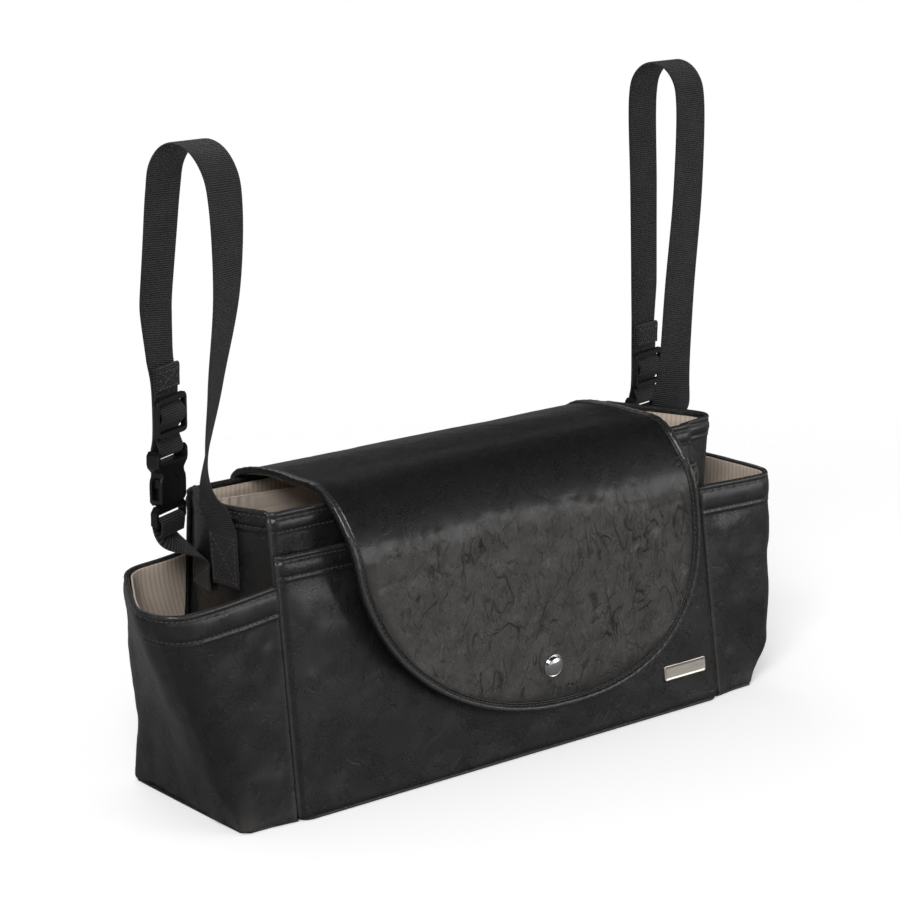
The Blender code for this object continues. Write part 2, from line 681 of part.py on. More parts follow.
def name_plate():
    wide, high, thick = PLATE_SIZE
    tilt = math.atan(FRONT_LEAN / RIM_HEIGHT)
    inner = slip_face(PLATE_X - wide / 2, PLATE_Z - high / 2) - 2 * GAP
    loops = []
    for depth, grow in ((0.0, 0.0), (0.75, 0.0), (1.0, -0.35 * MM)):
        loops.append(
            [
                (PLATE_X + u, inner - depth * thick + (v + high / 2) * math.tan(tilt), PLATE_Z + v)
                for u, v in rounded_rectangle(wide + 2 * grow, high + 2 * grow, PLATE_CORNER)
            ]
        )
    return loft("name_plate", loops, SATIN_METAL, round_shade=False)


def ribbon(name, centres, across, origin=(0, 0, 0)):
    """Webbing along a line: across is the direction of its width at each station."""
    centres = np.asarray(centres, float)
    along = np.gradient(centres, axis=0)
    along /= np.linalg.norm(along, axis=1, keepdims=True)
    across = np.asarray(across, float)
    across = across - along * np.sum(along * across, axis=1, keepdims=True)
    across /= np.linalg.norm(across, axis=1, keepdims=True)
    normal = np.cross(along, across)
    corner = ((0.5, 0.5), (-0.5, 0.5), (-0.5, -0.5), (0.5, -0.5))
    loops = []
    for k in range(len(centres)):
        loops.append([centres[k] + across[k] * WEB * u + normal[k] * WEB_THICK * v for u, v in corner])
    return loft(name, loops, BLACK_WEB, origin)


def width_direction(turns):
    angle = np.radians(np.asarray(turns, float))
    return np.stack([np.cos(angle), np.sin(angle), np.zeros_like(angle)], -1)


def strap_loop(name, side):
    """The sewn leg, the arch and the upper part of the buckle leg."""
    s = STRAPS[side]
    x, top = s["x"], s["top_z"] - WEB_THICK / 2
    front, low = s["front_y"]
    back = s["back_y"][0]
    radius = (back - front) / 2
    sewn_top = RIM_HEIGHT - SEWN_DROP
    clear = RIM_HEIGHT + RIM_CLEAR
    y = s["sewn_y"]
    hug = SKIN / 2 + GAP + WEB_THICK / 2
    stations = []
    for z in np.linspace(sewn_top - SEWN_LENGTH, sewn_top, 5):
        stations.append((gusset_x(side, y, z) + side * hug, y, z))
    stations.append((x, low, clear))
    rise = top - radius
    for t in (0.35, 0.7):
        stations.append((x, low + (front - low) * smooth(t * 1.3), clear + t * (rise - clear)))
    for angle in np.radians((180, 150, 120, 90, 60, 30, 0)):
        stations.append((x, (front + back) / 2 + radius * math.cos(angle), rise + radius * math.sin(angle)))
    end = buckle_run(side, s["split_z"])
    stations.append(0.5 * (np.array(stations[-1]) + end))
    stations.append(end + np.array((0, 0, 2 * GAP)))
    line = curve_through(stations, 60)
    peak = int(np.argmax(line[:, 2]))
    turns = []
    for k, p in enumerate(line):
        if k <= peak:
            fall = np.clip((top - p[2]) / (top - RIM_HEIGHT), 0, 1)
            full = TWIST_EARLY[side] * fall**TWIST_SLOW + (1 - TWIST_EARLY[side]) * fall ** TWIST_LATE[side]
            turns.append(sewn_turn(side, y, min(p[2], sewn_top)) * full)
        else:
            share = (line[peak, 2] - p[2]) / (line[peak, 2] - s["split_z"])
            turns.append(run_turn(side, s["split_z"]) * smooth(share))
    return ribbon(name, line, width_direction(turns))


def run_turn(side, z):
    """The turn of the buckle leg at a height."""
    s = STRAPS[side]
    start, end = s["split_z"] + RUN_EASE, s["slider_z"] + TURN_EASE
    return s["turn"] * smooth((start - z) / (start - end))


def buckle_run(side, z):
    """The middle of the buckle leg at a height above the slider."""
    s = STRAPS[side]
    start = in_buckle(side, 0, MAIN_LAYER, 0)
    share = (z - s["slider_z"]) / (s["top_z"] - s["slider_z"] - RUN_EASE)
    x = start[0] + (s["x"] - start[0]) * smooth(share)
    y = start[1] + (s["back_y"][1] - start[1]) * smooth(share * RUN_BACK)
    return np.array((x, y, z))


def buckle_axes(side):
    """Width, face and up directions of the buckle; the face looks towards the front."""
    angle = math.radians(STRAPS[side]["turn"])
    return (
        np.array((math.cos(angle), math.sin(angle), 0.0)),
        np.array((math.sin(angle), -math.cos(angle), 0.0)),
        np.array((0.0, 0.0, 1.0)),
    )


def in_buckle(side, width, out, up):
    a, n, u = buckle_axes(side)
    return np.array(STRAPS[side]["buckle"]) + a * width + n * out + u * up


def strap_end(name, side):
    """The adjustable end: down to the buckle's bar, round it, up through the slider, to the hemmed tab."""
    s = STRAPS[side]
    bar = BUCKLE_HEIGHT - LOOP_BAR / 2
    wrap = LOOP_BAR / math.sqrt(2) + GAP + WEB_THICK / 2
    low = s["slider_z"] - s["buckle"][2] - SLIDER_SIZE[1] / 2
    high = low + SLIDER_SIZE[1]
    middle = 0.5 * (low + high)
    over = SLIDER_FORWARD + SLIDER_THICK * 0.1 + GAP + WEB_THICK
    stations = []
    for z in np.linspace(s["split_z"] - GAP, s["slider_z"] + SLIDER_LEAD, 4):
        stations.append(buckle_run(side, z))
    stations.append(in_buckle(side, 0, MAIN_LAYER, high + SLIDER_ENTRY))
    stations.append(in_buckle(side, 0, MAIN_LAYER, low))
    for angle in np.radians((-180, -140, -90, -40, 0)):
        stations.append(in_buckle(side, 0, wrap * math.cos(angle), bar + wrap * math.sin(angle)))
    for out, up in (
        (RETURN_LAYER, low),
        (RETURN_LAYER, low + SLIDER_BAR),
        (over, middle - OVER_BAR),
        (over, middle + OVER_BAR),
        (RETURN_LAYER, high - SLIDER_BAR),
        (RETURN_LAYER, high + OVERCUT),
        (RETURN_LAYER, high + TAB_LENGTH),
    ):
        stations.append(in_buckle(side, 0, out, up))
    line = curve_through(stations, 88)
    lowest = int(np.argmin(line[:, 2]))
    turns = [run_turn(side, p[2]) if k < lowest else s["turn"] for k, p in enumerate(line)]
    return ribbon(name, line, width_direction(turns), origin=s["buckle"])


def prism(name, side, outline, out, chamfer=0.0):
    """An outline in the buckle's width and height, drawn through its thickness."""
    low, high = out
    outline = np.asarray(outline, float)
    size = len(outline)
    levels = [(low, outline), (high, outline)]
    if chamfer:
        inwards = outline - outline.mean(0)
        shrunk = outline - inwards / np.linalg.norm(inwards, axis=1, keepdims=True) * chamfer
        levels = [(low, shrunk), (low + chamfer, outline), (high - chamfer, outline), (high, shrunk)]
    points = [in_buckle(side, w, n, u) for n, ring in levels for w, u in ring]
    faces = []
    for k in range(len(levels) - 1):
        for i in range(size):
            j = (i + 1) % size
            faces.append((k * size + i, k * size + j, (k + 1) * size + j, (k + 1) * size + i))
    faces.append(tuple(range(size))[::-1])
    faces.append(tuple(range((len(levels) - 1) * size, len(levels) * size)))
    return solid(name, points, faces, BLACK_PLASTIC, STRAPS[side]["buckle"], round_shade=False)


def mirrored(right):
    """A whole outline from its right half, given from the foot up or from the top down."""
    return [*right, *[(-w, u) for w, u in right[::-1]]]


def rectangle(half, low, high):
    return mirrored([(half, low), (half, high)])


def cut(body, side, outline, out, name):
    """An outline drawn through the body and taken away from it."""
    cutter = prism(name, side, outline, out)
    cutter.hide_render = True
    cutter.display_type = "WIRE"
    step = body.modifiers.new(name, "BOOLEAN")
    step.operation = "DIFFERENCE"
    step.solver = "EXACT"
    step.object = cutter
    return cutter


def apply_cuts(body, cutters):
    """The cuts made part of the mesh, and the cutters removed."""
    graph = bpy.context.evaluated_depsgraph_get()
    mesh = bpy.data.meshes.new_from_object(body.evaluated_get(graph))
    body.modifiers.clear()
    body.data = mesh
    for cutter in cutters:
        bpy.data.objects.remove(cutter)


def bar_cuts(piece, side, half, thick, foot):
    """A slot above a webbing bar whose foot is at a height, and the bar thinned to a square."""
    neck = foot + LOOP_BAR
    relief = half - RELIEF_STEP
    around = rectangle(relief, foot - OVERCUT, neck + OVERCUT)
    return [
        cut(piece, side, around, (LOOP_BAR / 2, thick), "bar_front"),
        cut(piece, side, around, (-thick, -LOOP_BAR / 2), "bar_back"),
    ]


def buckle_socket(name, side):
    """The upper half: a hollow body with side windows, a waist, and a bar for the webbing at its top."""
    half, body, neck = BUCKLE_WIDTH / 2, BUCKLE_BODY / 2, BUCKLE_NECK / 2
    top, face = BUCKLE_HEIGHT, BUCKLE_THICK / 2
    window_top = WINDOW_Z + WINDOW_HEIGHT
    waist = curve_through(
        [
            (body, BUCKLE_CORNER),
            (body, window_top - BUCKLE_CORNER),
            (neck, BUCKLE_NECK_Z),
            (half, BUCKLE_SHOULDER_Z),
            (half, top - BUCKLE_CORNER),
        ],
        13,
    )
    outline = mirrored([(body - BUCKLE_CORNER, 0), *waist, (half - BUCKLE_CORNER, top)])
    piece = prism(name, side, outline, (-face, face), BUCKLE_EDGE)
    inside = body - BUCKLE_WALL
    hollow = face - BUCKLE_WALL
    window = hollow - WINDOW_LIP
    opening = WEB / 2 + SLOT_ROOM
    bar = top - LOOP_BAR
    channel = mirrored([(inside, -OVERCUT), (inside, window_top), (inside - CHANNEL_TAPER, CHANNEL)])
    wide = ARCH_WIDTH / 2
    arch = mirrored(
        [
            (wide, -OVERCUT),
            (wide, 0.45 * ARCH_HEIGHT),
            (0.86 * wide, 0.66 * ARCH_HEIGHT),
            (0.52 * wide, 0.86 * ARCH_HEIGHT),
            (0.08 * wide, ARCH_HEIGHT),
        ]
    )
    cutters = [
        cut(piece, side, channel, (-hollow, hollow), "channel"),
        cut(piece, side, rectangle(BUCKLE_WIDTH, WINDOW_Z, window_top), (-window, window), "windows"),
        cut(piece, side, rectangle(opening, bar - LOOP_SLOT, bar), (-BUCKLE_THICK, BUCKLE_THICK), "slot"),
        *bar_cuts(piece, side, opening, BUCKLE_THICK, bar),
        cut(piece, side, arch, (face - ARCH_DEPTH, BUCKLE_THICK), "arch_front"),
        cut(piece, side, arch, (-BUCKLE_THICK, ARCH_DEPTH - face), "arch_back"),
    ]
    apply_cuts(piece, cutters)
    return piece


def buckle_tongue(name, side):
    """The half sewn to the bag: a bar for its webbing, a guide and two spring prongs."""
    half, body = BUCKLE_WIDTH / 2, BUCKLE_BODY / 2 - BUCKLE_WALL - TONGUE_ROOM
    inner, foot = body - PRONG_WIDTH, -GAP
    right = [
        (half - BUCKLE_CORNER, -TONGUE_BODY),
        (half, -TONGUE_BODY + BUCKLE_CORNER),
        (half, foot - TONGUE_SHOULDER),
        (half - TONGUE_SHOULDER, foot),
        (body - PRONG_WAIST / 2, foot),
        (body - PRONG_WAIST, TONGUE_REACH * 0.45),
        (body, TONGUE_REACH * 0.55),
        (body, TONGUE_REACH * 0.8),
        (body - PRONG_TIP, TONGUE_REACH),
        (inner, TONGUE_REACH * 0.9),
        (inner, BUCKLE_CORNER),
        (GUIDE_WIDTH / 2, BUCKLE_CORNER),
        (GUIDE_WIDTH * 0.4, TONGUE_REACH * 0.95),
    ]
    piece = prism(name, side, mirrored(right), (-TONGUE_THICK / 2, TONGUE_THICK / 2))
    opening = WEB / 2 + SLOT_ROOM
    bar = LOOP_BAR - TONGUE_BODY
    cutters = [
        cut(piece, side, rectangle(opening, bar, bar + LOOP_SLOT), (-TONGUE_THICK, TONGUE_THICK), "tab_slot"),
        *bar_cuts(piece, side, opening, TONGUE_THICK, -TONGUE_BODY),
    ]
    apply_cuts(piece, cutters)
    return piece


def anchor_tab(name, side):
    """The short webbing that holds the tongue: sewn to the gusset, round the bar and back on itself."""
    s = STRAPS[side]
    bar = -TONGUE_BODY + LOOP_BAR / 2
    wrap = LOOP_BAR / math.sqrt(2) + GAP + WEB_THICK / 2
    foot = s["buckle"][2] - TONGUE_BODY
    peel = foot - TAB_PEEL
    y = s["buckle"][1] - TAB_FORWARD
    stations = []
    hug = SKIN / 2 + HEM_EXTRA / 2 + GAP + WEB_THICK / 2
    for z in np.linspace(foot - TAB_SEWN, peel, 3):
        stations.append((gusset_x(side, y, z) + side * hug, y, z))
    stations.append(in_buckle(side, 0, -0.3 * wrap, -TONGUE_BODY - TAB_LEAD))
    for angle in np.radians((180, 140, 90, 40, 0)):
        stations.append(in_buckle(side, 0, wrap * math.cos(angle), bar + wrap * math.sin(angle)))
    stations.append(in_buckle(side, 0, 0.72 * wrap, -TONGUE_BODY - TAB_CLOSE))
    line = curve_through(stations, 44)
    top = int(np.argmax(line[:, 2]))
    turns = []
    for k, p in enumerate(line):
        full = smooth((foot - TAB_EASE - p[2]) / TAB_TWIST)
        flat = sewn_turn(side, y, min(p[2], peel))
        turns.append(s["turn"] + (flat - s["turn"]) * full if k < top else s["turn"])
    return ribbon(name, line, width_direction(turns))


def slider(name, side):
    """The adjuster: a frame with two slots and a bar between them."""
    s = STRAPS[side]
    wide, high = SLIDER_SIZE
    centre = s["slider_z"] - s["buckle"][2]
    low = SLIDER_FORWARD - SLIDER_THICK / 2
    outline = [(w, u + centre) for w, u in rounded_rectangle(wide, high, SLIDER_CORNER, 3)]
    piece = prism(name, side, outline, (low, low + SLIDER_THICK), SLIDER_EDGE)
    slot = WEB / 2 + SLOT_ROOM
    inner = high / 2 - SLIDER_BAR
    through = (-BUCKLE_THICK, 2 * BUCKLE_THICK)
    relief = (SLIDER_FORWARD + SLIDER_THICK * 0.1, 2 * BUCKLE_THICK)
    cutters = [
        cut(piece, side, rectangle(slot, centre + SLIDER_MID / 2, centre + inner), through, "upper"),
        cut(piece, side, rectangle(slot, centre - inner, centre - SLIDER_MID / 2), through, "lower"),
        cut(piece, side, rectangle(slot - RELIEF_STEP, centre - inner, centre + inner), relief, "bar_relief"),
    ]
    apply_cuts(piece, cutters)
    return piece


def wall_pocket(name, span, heights, stand, gather, cols):
    """An inner pocket sewn to the back wall's lining, standing off it at the mouth."""
    left, right = span
    low, top = heights
    rows = 6
    grid = np.zeros((rows, cols, 3))
    inner = PANEL_DEPTH + LINING
    for i, z in enumerate(np.linspace(low, top, rows)):
        share = np.linspace(0, 1, cols)
        mouth = smooth((z - low) / (top - low)) ** 0.8
        folds = 1 - np.cos(share * 2 * math.pi * GATHER_FOLDS)
        ripple = gather * folds * smooth((z - top + GATHER_DEPTH) / GATHER_DEPTH)
        bag = stand * mouth * np.sin(math.pi * share) ** 0.7
        grid[i, :, 0] = left + share * (right - left)
        grid[i, :, 1] = back_y(z) - inner - GAP - LINING / 2 - bag - ripple
        grid[i, :, 2] = z
    return slab(name, grid, LINING, BEIGE_LINING)


def build():
    low = SKIN + GAP
    long_panel("front_panel", -1, low, RIM_HEIGHT, RIM_HEM, -SLIP_LAYER)
    long_panel("back_panel", 1, low, RIM_HEIGHT - BACK_RIM_DROP, RIM_HEM, puff=BACK_PUFF, cols=17)
    base_plate("bottom_panel", rounded_rectangle(LENGTH, DEPTH, BASE_CORNER))
    long_panel("front_slip_pocket", -1, low, SLIP_HEIGHT, SLIP_HEM, 0.0, SLIP_BULGE, SLIP_PUFF)
    lining("main_lining")
    for side, word in ((-1, "left"), (1, "right")):
        gusset(word + "_gusset", side)
        pocket_base(word + "_pocket_base", side)
        pocket_wall(word + "_end_pocket", side)
        pocket_lining(word + "_pocket_lining", side)
    flap("flap")
    flap_binding("flap_binding")
    snap_parts()
    snap_stud()
    name_plate()
    wall_pocket("elastic_inner_pocket", ELASTIC_SPAN, ELASTIC_HEIGHTS, ELASTIC_STAND, GATHER, 25)
    wall_pocket("flat_inner_pocket", FLAT_SPAN, FLAT_HEIGHTS, FLAT_STAND, 0.0, 13)
    for side, word in ((-1, "left"), (1, "right")):
        strap_loop(word + "_strap_loop", side)
        strap_end(word + "_strap_end", side)
        slider(word + "_slider", side)
        buckle_socket(word + "_buckle_socket", side)
        buckle_tongue(word + "_buckle_tongue", side)
        anchor_tab(word + "_anchor_tab", side)


for old in list(bpy.data.objects):
    bpy.data.objects.remove(old)
build()
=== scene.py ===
"""Stroller organizer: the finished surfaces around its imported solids, laid out as a Blender add-on."""

import copy
import math
from functools import cache, partial

import bmesh
import bpy
import numpy as np
from bpy.props import FloatProperty, FloatVectorProperty, PointerProperty
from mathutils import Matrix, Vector


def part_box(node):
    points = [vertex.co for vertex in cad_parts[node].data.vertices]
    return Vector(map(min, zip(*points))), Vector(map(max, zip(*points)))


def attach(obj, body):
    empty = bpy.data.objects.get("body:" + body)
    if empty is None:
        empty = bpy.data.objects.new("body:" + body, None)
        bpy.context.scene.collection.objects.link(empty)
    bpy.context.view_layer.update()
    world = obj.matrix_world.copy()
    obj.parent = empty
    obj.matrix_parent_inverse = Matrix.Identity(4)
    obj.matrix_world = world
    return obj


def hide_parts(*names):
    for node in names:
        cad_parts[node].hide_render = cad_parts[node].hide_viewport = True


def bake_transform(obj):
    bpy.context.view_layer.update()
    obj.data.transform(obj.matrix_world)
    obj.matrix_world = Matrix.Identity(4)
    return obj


bl_info = {
    "name": "Stroller Organizer",
    "version": (1, 0, 0),
    "blender": (4, 5, 0),
    "location": "View3D > Sidebar > Organizer",
    "description": "Builds a leather-look stroller organizer with buckled strap loops",
    "category": "Object",
}

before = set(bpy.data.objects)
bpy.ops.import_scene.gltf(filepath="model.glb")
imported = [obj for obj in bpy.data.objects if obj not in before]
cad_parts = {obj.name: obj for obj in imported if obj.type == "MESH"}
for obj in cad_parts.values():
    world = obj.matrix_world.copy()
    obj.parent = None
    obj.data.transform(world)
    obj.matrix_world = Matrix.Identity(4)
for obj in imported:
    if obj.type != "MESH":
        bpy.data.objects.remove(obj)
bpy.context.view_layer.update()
MM = 0.001
TURN = 2 * math.pi
SIDES = ((-1, "left"), (1, "right"))


def frame_size(node, axis):
    low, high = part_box(node)
    return high[axis] - low[axis]


# Main bag, as the solids have it
LENGTH = frame_size("bottom_panel", 0)
DEPTH = frame_size("bottom_panel", 1)
RIM_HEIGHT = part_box("left_gusset")[1].z
BACK_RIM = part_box("back_panel")[1].z
FRONT_LEAN = 26 * MM
BACK_LEAN = 12 * MM
SIDE_DRAW = {-1: 1.5 * MM, 1: 3.5 * MM}
SIDE_BOW = {-1: 12 * MM, 1: 29 * MM}
BOW_SKEW = {-1: 1.0, 1: 0.33}
SKIN = 2.2 * MM
LINING = 1.0 * MM
GAP = 0.4 * MM
EDGE_ROLL = 5 * MM
BACK_PUFF = 2.5 * MM
HEM_EXTRA = 1.0 * MM
HEM_PAD = 0.55 * MM
RIM_HEM = 12 * MM
GUSSET_TO_LINING = 3.2 * MM
SLIP_LAYER = SKIN + GAP + HEM_EXTRA
PANEL_DEPTH = 0.45 * EDGE_ROLL + SKIN + HEM_EXTRA + 2 * GAP
SEAM_ROOM = 0.6 * MM
PANEL_ROWS = (3.0 * MM, 11.0 * MM)
SLIP_ROWS = (2.5 * MM, 12.0 * MM)
GUSSET_ROWS = (2.5 * MM, 9.5 * MM)
POCKET_ROWS = (2.5 * MM, 15.5 * MM)
STITCH_PROUD = 0.12 * MM
WORN_EDGE = 2.5 * MM
WEAVE_PITCH = 0.5 * MM
TWILL_PITCH = 0.7 * MM
SLIP_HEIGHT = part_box("front_slip_pocket")[1].z
SLIP_BULGE = 9 * MM
SLIP_HEM = 14 * MM
SLIP_PUFF = 1.0 * MM

# End pockets
POCKET_HEIGHT = 141 * MM
POCKET_BASE_OUT = 38.6 * MM
POCKET_INSET = 4.5 * MM
POCKET_FOOT_CORNER = 3 * MM
POCKET_FOOT_RISE = 45 * MM
POCKET_CORNER = {-1: 17 * MM, 1: 9 * MM}
POCKET_BELLY = {-1: 3 * MM, 1: 17 * MM}
POCKET_RIM_OUT = {-1: 84 * MM, 1: 72 * MM}
POCKET_RIM_CORNER = {-1: 18 * MM, 1: 15 * MM}
POCKET_RIM_TAPER = {-1: 26 * MM, 1: 4 * MM}
POCKET_RIM_BACK = {-1: 6 * MM, 1: 0.5 * MM}
POCKET_RIM_SAG = {-1: 3 * MM, 1: 1 * MM}
POCKET_HEM = 18 * MM
POCKET_STEPS = 121

# Inner pockets on the back wall
ELASTIC_SPAN = (-158 * MM, -20 * MM)
ELASTIC_HEIGHTS = (70 * MM, 173 * MM)
ELASTIC_STAND = 10 * MM
GATHER_DEPTH = 30 * MM
FLAT_SPAN = (0 * MM, 156 * MM)
FLAT_HEIGHTS = (60 * MM, 160 * MM)
FLAT_STAND = 9 * MM

# Flap
FLAP_CENTRE_X = 5 * MM
FLAP_HALF = 140 * MM
FLAP_SKEW = 37 * MM
FLAP_THICK = 2.6 * MM
FLAP_CURVE_TOP = 150 * MM
FLAP_HEM_Z = 27 * MM
FLAP_POWER = 2.2
FLAP_ROOT_DROP = 15 * MM
FLAP_CROWN_RISE = 7 * MM
FLAP_CROWN_Y = 4 * MM
FLAP_SHOULDER_Y = -36 * MM
FLAP_SHOULDER_RISE = 4.5 * MM
FLAP_FOLD = (-59 * MM, 160 * MM)
FLAP_DROP = (-63 * MM, 130 * MM)
FLAP_HEM_Y = -66.5 * MM
FLAP_LEFT_LIFT = 1 * MM
BINDING_WIDTH = 7 * MM
BINDING_THICK = 4.0 * MM

# Metal trim
SNAP_X = 21.5 * MM
SNAP_Z = 57 * MM
SNAP_RADIUS = 7.5 * MM
SNAP_DOME = 3.4 * MM
PLATE_X = 141.5 * MM
PLATE_Z = 27.2 * MM
PLATE_SIZE = (37 * MM, 10 * MM, 1.2 * MM)
PLATE_CORNER = 1.6 * MM

# Straps
WEB = 25 * MM
WEB_THICK = 1.4 * MM
TAB_LENGTH = 17 * MM
TAB_FOLD = 13 * MM
SEWN_LENGTH = 34 * MM
SEWN_DROP = 16 * MM
RIM_CLEAR = 14 * MM
RUN_EASE = 30 * MM
RUN_BACK = 1.6
TURN_EASE = 12 * MM
TWIST_SLOW = 1.3
BUCKLE_HEIGHT = 34 * MM
LOOP_BAR = 3.0 * MM
TONGUE_BODY = 13 * MM
SLIDER_SIZE = (32 * MM, 24.5 * MM)
SLIDER_THICK = 3.6 * MM
SLIDER_FORWARD = 3.0 * MM
SLIDER_BAR = 3.4 * MM
SLIDER_ENTRY = 8 * MM
SLIDER_LEAD = 34 * MM
OVER_BAR = 2.4 * MM
MAIN_LAYER = -1.7 * MM
RETURN_LAYER = 0.2 * MM
TAB_SEWN = 44 * MM
TAB_PEEL = 24 * MM
TAB_LEAD = 7 * MM
TAB_CLOSE = 6 * MM
TAB_FORWARD = 3 * MM
TAB_EASE = 4 * MM
TAB_TWIST = 22 * MM
BUCKLE_OUT = {-1: 26.5 * MM, 1: 22.5 * MM}
BUCKLE_IN = {-1: 34.5 * MM, 1: 26.5 * MM}
BUCKLE_RISE = {-1: -1 * MM, 1: -31.5 * MM}
BUCKLE_TURN = {-1: 23, 1: 12}
SLIDER_RISE = {-1: 53.6 * MM, 1: 53.5 * MM}
SPLIT_RISE = {-1: 118 * MM, 1: 110.5 * MM}
LOOP_OUT = {-1: 18.5 * MM, 1: 22.5 * MM}
LOOP_RISE = {-1: 218 * MM, 1: 232 * MM}
LOOP_FRONT_IN = {-1: 89 * MM, 1: 66 * MM}
LOOP_LOW_IN = {-1: 64 * MM, 1: 55 * MM}
LOOP_BACK_IN = {-1: 25 * MM, 1: 21 * MM}
LOOP_SPLIT_IN = {-1: 19 * MM, 1: 26 * MM}
SEWN_IN = {-1: 66 * MM, 1: 59 * MM}
TWIST_EARLY = {-1: 0.63, 1: 0.12}
TWIST_LATE = {-1: 14, 1: 24}


def strap_places(side):
    """Where one strap's buckle, slider and loop stand, from the bag's own sizes."""
    back, end = DEPTH / 2, LENGTH / 2
    buckle_z = RIM_HEIGHT + BUCKLE_RISE[side]
    return {
        "buckle": (side * (end + BUCKLE_OUT[side]), back - BUCKLE_IN[side], buckle_z),
        "turn": BUCKLE_TURN[side],
        "slider_z": buckle_z + SLIDER_RISE[side],
        "split_z": buckle_z + SPLIT_RISE[side],
        "top_z": RIM_HEIGHT + LOOP_RISE[side],
        "x": side * (end + LOOP_OUT[side]),
        "front_y": (back - LOOP_FRONT_IN[side], back - LOOP_LOW_IN[side]),
        "back_y": (back - LOOP_BACK_IN[side], back - LOOP_SPLIT_IN[side]),
        "sewn_y": back - SEWN_IN[side],
    }


STRAPS = {side: strap_places(side) for side in (-1, 1)}

# Light
GLOSS_ROOM = (0.016, 0.016, 0.017, 1)
GLOSS_WALL = (0.85, 0.84, 0.82, 1)
GLOSS_EDGE = 0.3
SOFT_SKY = (0.46, 0.46, 0.465, 1)
FLOOR_GLOSS = (0.2, 0.2, 0.2)
FLOOR_LIFT = 0.29
FLOOR_FADE = (0.42, 0.95)

# Photograph's view
EYE = (-1.11325, -1.35659, 0.65217)
AIM = (-0.0068, 0.0, 0.1881)
LENS_MM = 115.06
SENSOR_MM = 36.0


class OrganizerSizes(bpy.types.PropertyGroup):
    """Sizes of the sewn and woven detail."""

    stitch_length: FloatProperty(
        name="Stitch length", description="Thread that shows at each stitch", default=2.5 * MM, unit="LENGTH"
    )
    stitch_pitch: FloatProperty(
        name="Stitch pitch", description="From one stitch to the next", default=3.3 * MM, unit="LENGTH"
    )
    thread_width: FloatProperty(name="Thread width", description="Width of a stitch", default=0.7 * MM, unit="LENGTH")
    groove_depth: FloatProperty(
        name="Stitch groove", description="How far a stitch row pulls the leather in", default=0.6 * MM, unit="LENGTH"
    )
    crumple_depth: FloatProperty(
        name="Crumple depth", description="Height of the wrinkles on the flap", default=1.05 * MM, unit="LENGTH"
    )
    ripple_depth: FloatProperty(
        name="Ripple depth", description="Height of the soft waves in the panels", default=1.7 * MM, unit="LENGTH"
    )
    grain_size: FloatProperty(
        name="Grain size", description="Width of a leather pebble", default=1.3 * MM, unit="LENGTH"
    )
    web_rib: FloatProperty(
        name="Webbing rib", description="Pitch of the webbing's ribs", default=1.35 * MM, unit="LENGTH"
    )
    stripe_pitch: FloatProperty(
        name="Lining stripe", description="Pitch of the lining's stripes", default=3.4 * MM, unit="LENGTH"
    )


class OrganizerColours(bpy.types.PropertyGroup):
    """Colours of the finishes, as linear values."""

    leather: FloatVectorProperty(
        name="Leather", description="Black leather", default=(0.0045, 0.0045, 0.005), subtype="COLOR"
    )
    # Lighter leather colour: rubbed wear, painted highlight on edges and ridges, and painted sheen on the hanging
    # flap.
    leather_wear_and_sheen: FloatVectorProperty(
        name="Leather wear", description="Leather where it is rubbed", default=(0.082, 0.076, 0.07), subtype="COLOR"
    )
    thread: FloatVectorProperty(
        name="Thread", description="Sewing thread", default=(0.045, 0.044, 0.043), subtype="COLOR"
    )
    webbing: FloatVectorProperty(
        name="Webbing", description="Woven strap", default=(0.016, 0.016, 0.017), subtype="COLOR"
    )
    plastic: FloatVectorProperty(
        name="Plastic", description="Buckles and sliders", default=(0.006, 0.006, 0.0065), subtype="COLOR"
    )
    lining: FloatVectorProperty(
        name="Lining", description="Striped lining", default=(0.68, 0.57, 0.47), subtype="COLOR"
    )
    lining_stripe: FloatVectorProperty(
        name="Lining stripe", description="Darker stripe of the lining", default=(0.43, 0.34, 0.26), subtype="COLOR"
    )
    satin_cloth: FloatVectorProperty(
        name="Pocket cloth", description="Inner pocket", default=(0.7, 0.6, 0.51), subtype="COLOR"
    )
    chrome: FloatVectorProperty(name="Chrome", description="Snap", default=(0.82, 0.82, 0.83), subtype="COLOR")
    satin_metal: FloatVectorProperty(
        name="Satin metal", description="Plate", default=(0.66, 0.61, 0.55), subtype="COLOR"
    )


def sizes():
    return bpy.context.scene.organizer_sizes


def colours():
    return bpy.context.scene.organizer_colours


def add_node(tree, kind, settings=None, sockets=None):
    """A new node, its settings made before its sockets are linked or filled."""
    made = tree.nodes.new(kind)
    for key, value in (settings or {}).items():
        setattr(made, key, value)
    for key, value in (sockets or {}).items():
        if isinstance(value, bpy.types.NodeSocket):
            tree.links.new(value, made.inputs[key])
        else:
            made.inputs[key].default_value = value
    return made


# Shader maths


